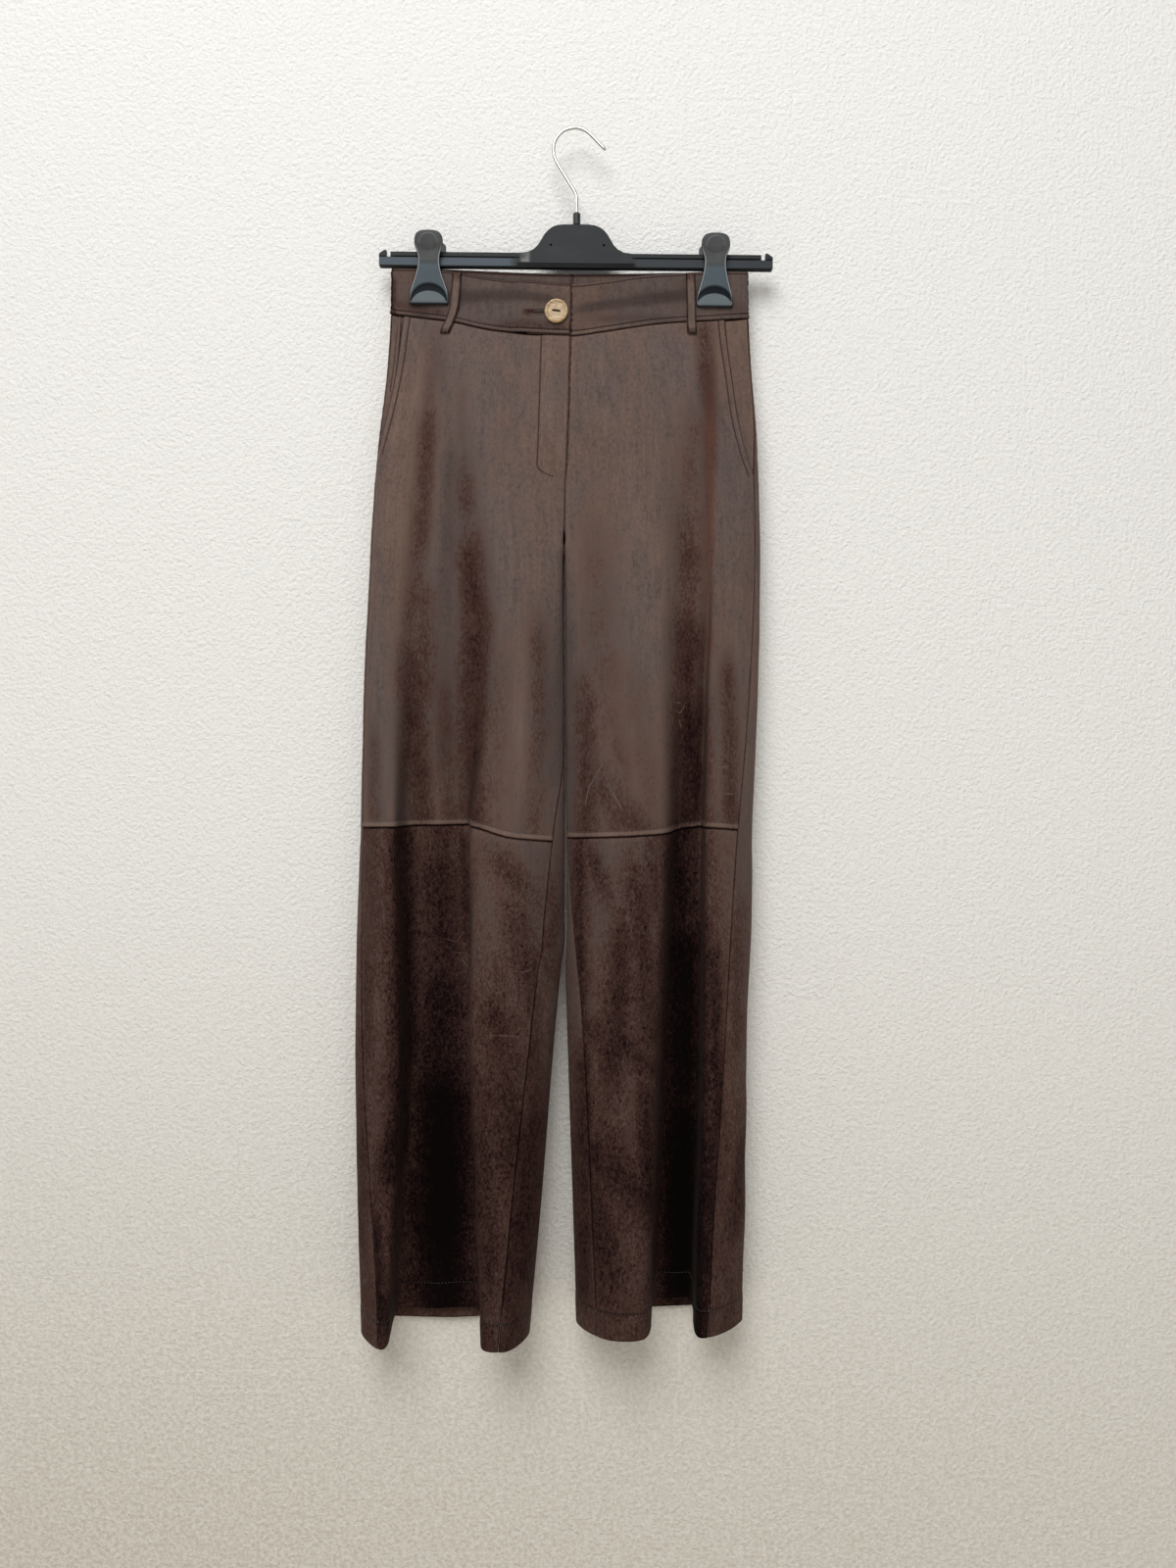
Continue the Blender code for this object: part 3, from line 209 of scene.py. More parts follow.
def columns(table, scale=MM):
    """One smooth function of height for each named column of a table."""
    return {name: curve([(-row.drop * MM, getattr(row, name) * scale) for row in table])
            for name in table[0]._fields if name != "drop"}


def ease(x, start, end):
    """0 before start, 1 past end, smooth between."""
    t = np.clip((np.asarray(x, float) - start) / (end - start), 0.0, 1.0)
    return t * t * (3 - 2 * t)


# %% The skin of one leg
LEVEL_STEP = 2.0 * MM
LEVELS = np.arange(-0.130, -1.168, -LEVEL_STEP)
RING_STEP = 0.02
RING = np.arange(-1.0, 12.5, RING_STEP)
PACE = 0.5 * MM
PACES = np.arange(0.0, 0.95, PACE)
FRONT_MARKS = ("outer", "crest_out", "valley_out", "ridge", "valley_in", "crest_in")


def look_up(table, z, column):
    """Reads a table of levels and columns, also between its entries."""
    row = np.clip((LEVELS[0] - z) / LEVEL_STEP, 0, len(table) - 1.001)
    column = np.clip(column, 0, table.shape[1] - 1.001)
    row, column = np.broadcast_arrays(row, column)
    r, c = row.astype(int), column.astype(int)
    down, along = row - r, column - c
    upper = table[r, c] * (1 - along) + table[r, c + 1] * along
    lower = table[r + 1, c] * (1 - along) + table[r + 1, c + 1] * along
    return upper * (1 - down) + lower * down


class Leg:
    """The inner skin of one leg and of its half of the hips: a point for any mark and height."""

    def __init__(self, side, across, seams, pocket):
        self.side = side
        self.out = -1.0 if side == "left" else 1.0
        x, ahead = columns(across), columns(AHEAD)
        self.inner_edge = x["inner"]
        seam = columns(seams, 1.0)
        self.outseam, self.inseam = seam["outseam"], seam["inseam"]
        self.pocket, self.knee = in_metres(pocket), in_metres(KNEE_SEAM[side])
        self.hem = HEM[side]
        z = LEVELS
        y = {name: -f(z) for name, f in ahead.items()}
        x = {name: f(z) for name, f in x.items()}
        legs = ease(-z, -CROTCH_TOP - 5 * MM, -CROTCH_FOOT + 8 * MM)
        apart = ease(-z, -CROTCH_TOP - 15 * MM, -CROTCH_FOOT - 7 * MM)
        apart = apart - ease(-z, -LEGS_PART[0], -LEGS_PART[1])
        inner = x["inner"] + self.out * LEG_CLEARANCE * apart
        heel = np.minimum(HEEL, 0.25 * (y["back"] - y["crest_in"]) + 1 * MM)
        spots = [
            *((x[name], y[name]) for name in FRONT_MARKS),
            ((1 - BELLY_SHARE) * x["crest_in"] + BELLY_SHARE * inner, y["belly"]), (inner, y["inner"]),
            (inner + self.out * heel * legs, y["back"]), (0.5 * (inner + x["outer"]), y["back"]),
            (x["outer"] - self.out * heel, y["back"]),
        ]
        self.spots = np.array(spots).transpose(2, 0, 1)
        ahead_spots = np.roll(self.spots, -1, 1)
        self.spans = np.linalg.norm(ahead_spots - self.spots, axis=2)
        before = np.roll(self.spans, 1, 1)
        self.slope = (ahead_spots - np.roll(self.spots, 1, 1)) / (before + self.spans)[:, :, None]
        level = np.array((-self.out, 0.0))
        for mark, way in ((INNER, 1.0), (BACK_IN, -1.0)):
            share = (1 - legs)[:, None]
            self.slope[:, mark] = self.slope[:, mark] * (1 - share) + way * level * share
        self.inner = inner
        ring = self.skin(*np.meshgrid(RING, LEVELS, indexing="xy"))
        steps = np.linalg.norm(np.diff(ring, axis=1), axis=2)
        self.arc = np.concatenate((np.zeros((len(LEVELS), 1)), np.cumsum(steps, 1)), 1)
        self.along = np.array([np.interp(PACES, row, RING) for row in self.arc])
        self.mouth = self.station_at(self.pocket(z), z, 0.0, 2.0)

    def distance(self, station, z):
        """How far along the ring a mark lies."""
        return look_up(self.arc, z, (station - RING[0]) / RING_STEP)

    def mark_at(self, distance, z):
        """The mark at a distance along the ring."""
        return look_up(self.along, z, distance / PACE)

    def skin(self, station, z):
        """Points of the inner skin, for arrays of marks and heights."""
        station, z = np.broadcast_arrays(np.asarray(station, float), np.asarray(z, float))
        place = np.clip((LEVELS[0] - z) / LEVEL_STEP, 0, len(LEVELS) - 1.001)
        row = place.astype(int)
        share = (place - row)[..., None]
        first = np.floor(station).astype(int)
        t = (station - first)[..., None]
        a, b = first % MARKS, (first + 1) % MARKS

        def at(k):
            return hermite(self.spots[k, a], self.spots[k, b], self.slope[k, a], self.slope[k, b],
                           self.spans[k, a][..., None], t)

        spot = at(row) * (1 - share) + at(row + 1) * share
        inner = self.inner[row] * (1 - share[..., 0]) + self.inner[row + 1] * share[..., 0]
        x = np.minimum(spot[..., 0], inner) if self.side == "left" else np.maximum(spot[..., 0], inner)
        return np.stack((x, spot[..., 1], z), -1)

    def outward(self, station, z):
        """Unit vectors straight out of the cloth."""
        along = self.skin(station + 0.02, z) - self.skin(station - 0.02, z)
        down = self.skin(station, z - 2 * MM) - self.skin(station, z + 2 * MM)
        way = np.cross(down, along) * -self.out
        return way / np.maximum(np.linalg.norm(way, axis=-1, keepdims=True), 1e-12)

    def station_at(self, x, z, low=-0.2, high=7.0):
        """The mark on the front where the skin is x across, found by halving."""
        x, z = np.broadcast_arrays(np.asarray(x, float), np.asarray(z, float))
        low, high = np.full(x.shape, low), np.full(x.shape, high)
        for _ in range(26):
            middle = 0.5 * (low + high)
            short = (self.skin(middle, z)[..., 0] - x) * self.out > 0
            low, high = np.where(short, middle, low), np.where(short, high, middle)
        return 0.5 * (low + high)

    def front_edge(self, z):
        """The front panel's outer edge: the pocket mouth, and under it the side seam."""
        seam = self.outseam(z)
        mouth = np.interp(-z, -LEVELS, self.mouth)
        return np.where(z < POCKET_FOOT[self.side], seam, np.maximum(seam, mouth))


LEFT = Leg("left", LEFT_ACROSS, LEFT_SEAMS, LEFT_POCKET)
RIGHT = Leg("right", RIGHT_ACROSS, RIGHT_SEAMS, RIGHT_POCKET)
LEGS = (LEFT, RIGHT)
band_top_front, band_top_back = in_metres(BAND_TOP_FRONT), in_metres(BAND_TOP_BACK)
band_seam_front, band_seam_back = in_metres(BAND_SEAM_FRONT), in_metres(BAND_SEAM_BACK)
for leg in LEGS:
    hem_round = leg.distance(MARKS, leg.hem) - leg.distance(0.0, leg.hem)
    print(leg.side, "leg, round the hem:", round(float(hem_round) / MM), "mm")

# %% [markdown]
# ## Camera, wall and light
# The camera looks level at the middle of the garment from a little over a metre. A wall of rough
# pale plaster stands behind the trousers. It is see-through from its back, so that it never hides
# them from behind. Large soft lamps in front give the even light of a bright room, and weaker ones
# behind keep the back readable.

# %% Camera
FOCAL = 1190.0
PICTURE_HEIGHT = 1600.0
CAMERA_AT = (11.7 * MM, -1.128, -0.633)
scene = bpy.context.scene
lens = bpy.data.cameras.new("camera")
lens.sensor_fit = "VERTICAL"
lens.sensor_height = 36.0
lens.lens = lens.sensor_height * FOCAL / PICTURE_HEIGHT
lens.clip_start = 0.01
camera = bpy.data.objects.new("camera", lens)
camera.location = CAMERA_AT
camera.rotation_euler = (math.pi / 2, 0.0, 0.0)
scene.collection.objects.link(camera)
scene.camera = camera
scene.view_settings.view_transform = "Standard"
print("lens:", round(lens.lens, 2), "mm")


# %% [markdown]
# ## Writing a finish as sums
# A finish is a tree of shader nodes. Drawing that tree in code line by line is hard to read, so a
# small class wraps a socket, and sums written with it add the Math nodes.

# %% Finish
class Wire:
    """The output of a shader node. Arithmetic on it adds Math nodes."""

    def __init__(self, finish, socket):
        self.finish, self.socket = finish, socket

    def maths(self, operation, *values):
        return self.finish.add("ShaderNodeMath", {"operation": operation}, values)

    def __add__(self, other):
        return self.maths("ADD", self, other)

    def __sub__(self, other):
        return self.maths("SUBTRACT", self, other)

    def __rsub__(self, other):
        return self.maths("SUBTRACT", other, self)

    def __mul__(self, other):
        return self.maths("MULTIPLY", self, other)

    __radd__ = __add__
    __rmul__ = __mul__

    def ramp(self, low, high):
        """0 below low, 1 above high, smooth between."""
        return self.finish.add("ShaderNodeMapRange", {"interpolation_type": "SMOOTHSTEP"},
                               {"Value": self, "From Min": low, "From Max": high})


class Finish:
    """A material that grows node by node."""

    def __init__(self, name, **constants):
        self.material = bpy.data.materials.new(name)
        self.material.use_nodes = True
        self.tree = self.material.node_tree
        self.shader = self.tree.nodes["Principled BSDF"]
        for socket, value in constants.items():
            self.shader.inputs[socket.replace("_", " ")].default_value = value
        self.place = self.add("ShaderNodeTexCoord", output="Object")

    def add(self, kind, settings=None, sockets=None, output=0):
        """One node: its settings first, then a value or a wire for each named socket."""
        made = self.tree.nodes.new(kind)
        for name, value in (settings or {}).items():
            setattr(made, name, value)
        pairs = sockets.items() if isinstance(sockets, dict) else enumerate(sockets or ())
        for name, value in pairs:
            if isinstance(value, Wire):
                self.tree.links.new(value.socket, made.inputs[name])
            else:
                made.inputs[name].default_value = value
        return Wire(self, made.outputs[output])

    def axis(self, number):
        """A place along one axis: 0 is across, 2 is up."""
        return self.add("ShaderNodeSeparateXYZ", {}, {"Vector": self.place}, number)

    def noise(self, scale, detail=3.0, roughness=0.55, stretch=(1, 1, 1), shift=(0, 0, 0), bend=0.0):
        """Cloudy noise: so many clouds a metre, stretched along the axes with a low factor."""
        spot = self.add("ShaderNodeMapping", {},
                        {"Vector": self.place, "Location": shift, "Scale": stretch})
        return self.add("ShaderNodeTexNoise", {}, {"Vector": spot, "Scale": scale, "Detail": detail,
                                                   "Roughness": roughness, "Distortion": bend})

    def blend(self, share, first, second):
        """The first colour where share is 0, the second where it is 1."""
        first, second = [(*c, 1.0) if isinstance(c, tuple) else c for c in (first, second)]
        return self.add("ShaderNodeMix", {"data_type": "RGBA"},
                        {0: share, 6: first, 7: second}, output=2)

    def painted(self, name):
        """A number painted on the mesh, point by point."""
        return self.add("ShaderNodeAttribute", {"attribute_name": name}, output="Fac")

    def feed(self, **sockets):
        for socket, wire in sockets.items():
            self.tree.links.new(wire.socket, self.shader.inputs[socket.replace("_", " ")])

    def bump(self, height, distance, strength=1.0):
        self.feed(Normal=self.add("ShaderNodeBump", {}, {"Height": height, "Distance": distance,
                                                         "Strength": strength}))


# %% Wall and floor
WALL_AT = 24.5 * MM
FLOOR_AT = -1.62
WALL_COLOUR = (0.885, 0.872, 0.842)
WALL_LIGHT_COLOUR = (0.95, 0.938, 0.908)
WALL_SHADED_FOOT_COLOUR = (0.590, 0.545, 0.465)
WALL_TOP = 1.4
ROOM_HALF = 3.0
ROOM_CORNERS = ((-1, -1), (1, -1), (1, 1), (-1, 1))


def new_object(name, vertices, faces, finish):
    """A smooth mesh object with one finish."""
    mesh = bpy.data.meshes.new(name)
    mesh.from_pydata(vertices, [], faces)
    mesh.shade_smooth()
    mesh.materials.append(finish)
    made = bpy.data.objects.new(name, mesh)
    scene.collection.objects.link(made)
    return made


def staged_plane(name, corners, finish):
    """A flat part of the room, not attached to the garment."""
    made = new_object(name, corners, [(0, 1, 2, 3)], finish)
    return made


def wall_paint():
    """Matte paint on rough plaster, with painted shade that makes it warmer and dimmer towards the floor;
    see-through from behind.
    """
    paint = Finish("wall_paint", Roughness=0.9)
    grit = paint.noise(250.0, 4.0, 0.66)
    # Painted shade: the wall darkens and warms towards the floor, a little less to the right.
    painted_falloff = (paint.axis(2) * -1.0).ramp(0.60, 1.50) * (1 - paint.axis(0).ramp(-0.5, 0.9) * 0.3)
    tone = paint.blend(painted_falloff, WALL_COLOUR, WALL_SHADED_FOOT_COLOUR)
    paint.feed(Base_Color=paint.blend(grit.ramp(0.30, 0.72) * 0.55, tone, WALL_LIGHT_COLOUR))
    paint.bump(grit, 4.2 * MM, 0.85)
    behind = paint.add("ShaderNodeNewGeometry", output="Backfacing")
    clear = paint.add("ShaderNodeBsdfTransparent")
    seen = paint.add("ShaderNodeMixShader", {}, {0: behind, 2: clear})
    paint.tree.links.new(paint.shader.outputs[0], seen.socket.node.inputs[1])
    paint.tree.links.new(seen.socket, paint.tree.nodes["Material Output"].inputs["Surface"])
    return paint.material


wall_corners = [(x * ROOM_HALF, WALL_AT, WALL_TOP if z > 0 else FLOOR_AT) for x, z in ROOM_CORNERS]
wall = staged_plane("wall", wall_corners, wall_paint())
wall.visible_shadow = False
boards = Finish("floor_limewash", Roughness=0.8)
streaky = boards.noise(14.0, 4.0, 0.6, (0.3, 1.0, 1.0))
boards.feed(Base_Color=boards.blend(streaky.ramp(0.3, 0.7), (0.74, 0.67, 0.56), (0.68, 0.60, 0.49)))
floor_corners = [(x * ROOM_HALF, y * ROOM_HALF, FLOOR_AT) for x, y in ROOM_CORNERS]
staged_plane("floor", floor_corners, boards.material)

# %% Lamps
Lamp = namedtuple("Lamp", "name place size power")
LAMPS = table_of(
    Lamp,
    ("window_high", (-0.5, -2.3, 1.5), 2.0, 80.0),
    ("window_low", (0.9, -2.6, -0.5), 1.8, 6.0),
    ("behind_left", (-1.9, 1.9, 0.8), 1.6, 26.0),
    ("behind_right", (1.9, 1.9, -0.2), 1.6, 18.0),
)
AIM = Vector((0.0, 0.0, -0.55))
ROOM_COLOUR = (0.94, 0.97, 1.0, 1.0)
ROOM_STRENGTH = 0.30
for lamp in LAMPS:
    light = bpy.data.lights.new(lamp.name, "AREA")
    light.shape = "DISK"
    light.size = lamp.size
    light.energy = lamp.power
    made = bpy.data.objects.new(lamp.name, light)
    made.location = lamp.place
    made.rotation_euler = (AIM - made.location).to_track_quat("-Z", "Y").to_euler()
    scene.collection.objects.link(made)
world = bpy.data.worlds.new("room")
world.use_nodes = True
room = world.node_tree.nodes["Background"]
room.inputs["Color"].default_value = ROOM_COLOUR
room.inputs["Strength"].default_value = ROOM_STRENGTH
scene.world = world

# %% [markdown]
# ## The faux suede
# The cloth has a short brushed face that is rubbed light and dark. Three things make the look: broad
# clouds that drift between cool grey brown and warm red brown, dark zones, both crushed nap and
# painted shade in fold valleys, seams and folds, and short fine strokes that thicken where a zone
# goes dark. The dark and warm zones are painted on the mesh, because they belong to places on this
# garment, and so are painted highlights on crests, welts and seam strips. The strokes and clouds
# are noise.

# %% Faux suede
COOL = (0.106, 0.079, 0.072)
WARM = (0.126, 0.083, 0.066)
CHILL_TONE = (0.062, 0.045, 0.041)
RUST_TONE = (0.086, 0.038, 0.026)
LIGHT_NAP_AND_HIGHLIGHT = (0.170, 0.118, 0.096)
MIDDLE = (0.056, 0.0278, 0.0225)
DARK_TONE = (0.0140, 0.0056, 0.0052)
BLACK_TONE = (0.0018, 0.0007, 0.0007)
SHEEN_TONE = (1.0, 0.86, 0.78, 1.0)
ROW_MARK = 100.0


def faux_suede(name, shift, coarse, shade=1.0, chill=0.0):
    """coarse: 0 is a smooth nap, 1 a crackled one. shade scales the colour, chill cools it."""
    cloth = Finish(name, Sheen_Weight=0.012, Sheen_Roughness=0.5, Specular_IOR_Level=0.05)
    cloth.shader.inputs["Sheen Tint"].default_value = SHEEN_TONE
    clouds = cloth.noise(7.5, 3.0, 0.5, (1.7, 1.7, 0.6), shift, 0.6)
    mottle = cloth.noise(48.0, 5.0, 0.62, (1.2, 1.2, 0.75), shift)
    nap = cloth.noise(230.0, 3.0, 0.6, (1.0, 1.0, 0.10), shift)
    strokes = cloth.noise(430.0 - 20.0 * coarse, 3.0, 0.76, (1.0, 1.0, 0.60), shift,
                          0.4 + 0.8 * coarse)
    fibres = cloth.noise(1500.0, 2.0, 0.6, (1.0, 1.0, 0.35), shift)
    # The dark paint holds crushed nap and painted shade in the fold valleys, seams and band folds.
    painted = cloth.painted("dark")
    busy = painted.ramp(0.0, 0.45) * (1 - painted.ramp(0.9, 1.5) * 0.7)
    dark = painted + 0.09 * coarse + (mottle - 0.5) * (0.24 + busy * (0.55 - 0.1 * coarse))
    dark = dark + (strokes - 0.5) * (0.45 + 0.65 * coarse + busy * (1.25 + 0.4 * coarse))
    dark = dark + (nap - 0.5) * 0.2
    away = cloth.painted("row") - ROW_MARK
    # A thin line of painted shade along each row of stitches; the bump sinks the same line.
    row_groove_shade = 1 - away.maths("ABSOLUTE", away).ramp(0.3, 1.1)
    dark = dark + row_groove_shade * 0.6
    place = cloth.painted("rust")
    rust = place + (mottle - 0.5) * 0.5
    # Negative rust paint cools the colour; on the band fronts it is painted shade in the folds.
    cooled = (place * -1.0) + (mottle - 0.5) * 0.3

    warmth = (clouds + (mottle - 0.5) * 0.35 + (nap - 0.5) * 0.25).ramp(0.30 + chill, 0.68 + chill)
    face = cloth.blend(warmth, COOL, WARM)
    # The light paint holds painted highlights on crests, welts, seam strips and loops; the noise adds lighter
    # nap.
    light = cloth.painted("light") + (nap - 0.5) * 0.40 + (mottle - 0.5) * 0.3
    face = cloth.blend(light.ramp(0.0, 1.1), face, LIGHT_NAP_AND_HIGHLIGHT)
    face = cloth.blend(rust.ramp(0.1, 1.0) * 0.85, face, RUST_TONE)
    face = cloth.blend(cooled.ramp(0.0, 1.1) * 0.8, face, CHILL_TONE)
    tone = cloth.blend(dark.ramp(0.0, 0.55), face, MIDDLE)
    tone = cloth.blend(dark.ramp(0.45, 1.0), tone, DARK_TONE)
    tone = cloth.blend(dark.ramp(0.9, 1.3), tone, BLACK_TONE)
    grain = (strokes - 0.5) * (1.35 + 0.3 * coarse) + (mottle - 0.5) * 0.40 + (nap - 0.5) * 0.50
    tone = cloth.add("ShaderNodeVectorMath", {"operation": "SCALE"},
                     {0: tone, "Scale": (grain + 1.0) * shade})
    cloth.feed(Base_Color=tone, Roughness=0.70 + strokes * 0.25)
    height = strokes * (0.5 + 0.5 * coarse) + fibres * 0.25 + nap * 0.25 - row_groove_shade * 1.2
    cloth.bump(height, 0.30 * MM, 0.40 + 0.2 * coarse)
    return cloth.material


SUEDE = {
    "thigh": faux_suede("suede_thigh", (0.0, 0.0, 0.0), 0.15),
    "shin": faux_suede("suede_shin", (3.1, 0.7, 1.9), 0.85),
    "back": faux_suede("suede_back", (7.7, 2.3, 5.1), 0.35),
    "band": faux_suede("suede_band", (1.3, 4.1, 0.6), 0.10, 0.80, 0.07),
}

# %% [markdown]
# ## Laying a panel
# A panel is a grid of points: rows run across the leg, columns run down it. The lines lie about
# 2.6 mm apart, and closer beside the four edges, where the cloth rolls into its seams. Each point
# knows how far it is from each edge, so that a welt, a roll or a row of stitches can follow a seam.

# %% Panel
EDGE_STOPS = np.array((0.05, 0.4, 0.8, 1.4, 2.2, 3.2, 4.2, 4.8, 5.4, 6.1, 7.2, 9.0)) * MM
GRID_STEP = 2.6 * MM


def stops(length, step):
    """Places of grid lines: a fixed distance, plus a share of the whole length."""
    edge = EDGE_STOPS[-1]
    shares = np.linspace(0, 1, max(2, math.ceil((length - 2 * edge) / step)) + 1)[1:-1]
    fixed = np.concatenate((EDGE_STOPS, edge * (1 - 2 * shares), -EDGE_STOPS[::-1]))
    return fixed, np.concatenate((0 * EDGE_STOPS, shares, 0 * EDGE_STOPS + 1))


class Panel:
    """A grid on a leg's skin between two marks and two edges, each a function."""

    def __init__(self, leg, start, end, top, bottom, guess, step=GRID_STEP):
        self.leg = leg
        probe = np.linspace(*guess, 9)
        widest = np.max(leg.distance(end(probe), probe) - leg.distance(start(probe), probe))
        across, across_share = stops(widest, step)
        down, down_share = stops(guess[0] - guess[1], step)
        down, down_share = down[:, None], down_share[:, None]

        def marks(z):
            first = leg.distance(start(z), z)
            width = leg.distance(end(z), z) - first
            reach = across + across_share * width
            return leg.mark_at(first + reach, z), reach, width - reach

        upper, lower = (np.full(len(across), g) for g in guess)
        for _ in range(5):
            mark = marks(upper)[0]
            upper = top(leg.skin(mark, upper)[..., 0], mark)
            mark = marks(lower)[0]
            lower = bottom(leg.skin(mark, lower)[..., 0], mark)
        fall = down + down_share * (upper - lower)
        self.z = upper - fall
        self.mark, self.from_start, self.from_end = marks(self.z)
        self.from_top, self.from_bottom = fall, (upper - lower) - fall
        self.points = leg.skin(self.mark, self.z)
        self.normal = leg.outward(self.mark, self.z)
        self.x = self.points[..., 0]
        self.size = (widest, float(np.max(upper - lower)))


# %% Cloth from a panel
SHELL_SHARE = 0.85


def paint_points(mesh, name, values):
    layer = mesh.attributes.new(name, "FLOAT", "POINT")
    layer.data.foreach_set("value", np.asarray(values, np.float32).ravel())


def sheet_mesh(name, points, finish, thickness, paints, flip=False):
    """A shell whose outer face runs through a grid of points, a little thinner than its solid."""
    rows, cols = points.shape[:2]
    index = np.arange(rows * cols).reshape(rows, cols)
    quads = np.stack((index[:-1, :-1], index[1:, :-1], index[1:, 1:], index[:-1, 1:]), -1)
    quads = quads.reshape(-1, 4)[:, ::-1] if flip else quads.reshape(-1, 4)
    made = new_object(name, points.reshape(-1, 3).tolist(), quads.tolist(), finish)
    for paint_name, values in paints.items():
        paint_points(made.data, paint_name, values)
    shell = made.modifiers.new("cloth", "SOLIDIFY")
    shell.thickness = SHELL_SHARE * thickness
    shell.offset = -1.0
    return made


def area_of(points):
    """Area of a grid of points, in square metres."""
    down, along = points[1:, :-1] - points[:-1, :-1], points[:-1, 1:] - points[:-1, :-1]
    return float(np.linalg.norm(np.cross(down, along), axis=-1).sum())


def cut_size(points):
    """Width and length of a piece, measured along the cloth over its grid of points."""
    along = np.linalg.norm(np.diff(points, axis=1), axis=-1).sum(axis=1)
    down = np.linalg.norm(np.diff(points, axis=0), axis=-1).sum(axis=0)
    return float(along.max()), float(down.max())


def sewn(made, points, flat, with_pieces=()):
    """A piece of cloth that rides on the garment; its cut size and area are printed."""
    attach(made, "root")
    area = min(area_of(points), flat[0] * flat[1])
    print(f"{made.name}: cut {flat[0] / MM:.0f} x {flat[1] / MM:.0f} mm, {area * 1e4:.0f} cm2")


# %% [markdown]
# ## Relief of the cloth
# Seams, welts and soft creases are small heights added along the surface's own outward direction.
# Each is a short function of the distance to an edge, or of a place on the garment.

# %% Relief
def roll(distance, depth=0.9 * MM, width=1.6 * MM):
    """The edge of a panel turns down into its seam."""
    return -depth * (1 - np.clip(distance / width, 0, 1)) ** 2


def welt(distance, width, height):
    """Seam allowances pressed to one side lift a flat ribbon beside the seam."""
    return height * (1 - ease(distance, width, width + 1.3 * MM))


def groove(distance, depth=0.35 * MM, width=1.1 * MM):
    """A row of stitches pulls the cloth down along a line."""
    return -depth * np.exp(-(distance / width) ** 2)


def cloudy(across, down, seed):
    """Smooth random heights from -1 to 1 on a square lattice."""
    lattice = np.random.default_rng(seed).uniform(-1, 1, (64, 64))
    u, v = across % 63, down % 63
    i, j = u.astype(int), v.astype(int)
    s, t = ease(u - i, 0, 1), ease(v - j, 0, 1)
    near = lattice[i, j] * (1 - s) + lattice[(i + 1) % 64, j] * s
    far = lattice[i, (j + 1) % 64] * (1 - s) + lattice[(i + 1) % 64, (j + 1) % 64] * s
    return near * (1 - t) + far * t


def hang(panel, seed, height=1.0 * MM):
    """Gentle waves of hanging cloth, long down the leg and short across."""
    across, down = panel.from_start / (38 * MM), -panel.z / (95 * MM)
    waves = cloudy(across + 7, down, seed) + 0.45 * cloudy(across * 2.3 + 3, down * 2.1, seed + 1)
    small = 0.10 * cloudy(across * 7, down * 6, seed + 2)
    inside = ease(np.minimum(panel.from_start, panel.from_end), 0, 14 * MM)
    inside = inside * ease(np.abs(panel.x - panel.leg.inner_edge(panel.z)), 1 * MM, 14 * MM)
    return height * (waves + small) * inside * ease(panel.from_top, 0, 12 * MM)


def pucker(along, distance, seed, height=0.28 * MM, spacing=8 * MM, reach=7 * MM):
    """Tiny gathers that a tight seam leaves in the cloth beside it."""
    wave = cloudy(along / spacing * 1.6, np.zeros_like(along) + seed, seed)
    return height * wave * np.exp(-(distance / reach) ** 2) * ease(distance, 0, 2 * MM)


# %% [markdown]
# ## Where the nap is dark, rust or light, and where shade and highlights are painted
# The cloth is marbled, and its marks belong to places: two dark streaks down each thigh, partly
# crushed nap and partly painted shade in the fold valleys, a rust strip beside the right pocket,
# and painted shade that makes the valleys under the knees black. Painted highlights run along the
# fold crests. A streak is a soft line between two places with a half width and a strength. Where
# streaks meet, the strongest one shows.

# %% Streaks, in millimetres across and down from the hook
Streak = namedtuple("Streak", "x_top z_top x_foot z_foot half_width strength")
FADE = 3.0


def streaked(x, z, streaks):
    """How much of the nearest soft streak lies at each point."""
    total = np.zeros(x.shape)
    for s in streaks:
        run, fall = s.x_foot - s.x_top, s.z_foot - s.z_top
        length = math.hypot(run, fall)
        right, down = x / MM - s.x_top, z / MM - s.z_top
        along = (right * run + down * fall) / length
        aside = (right * fall - down * run) / length
        over = np.maximum(np.maximum(-along, along - length), 0) / FADE
        total = np.maximum(total, s.strength * np.exp(-(aside ** 2 + over ** 2) / s.half_width ** 2))
    return total


def rows(*lines):
    return table_of(Streak, *lines)
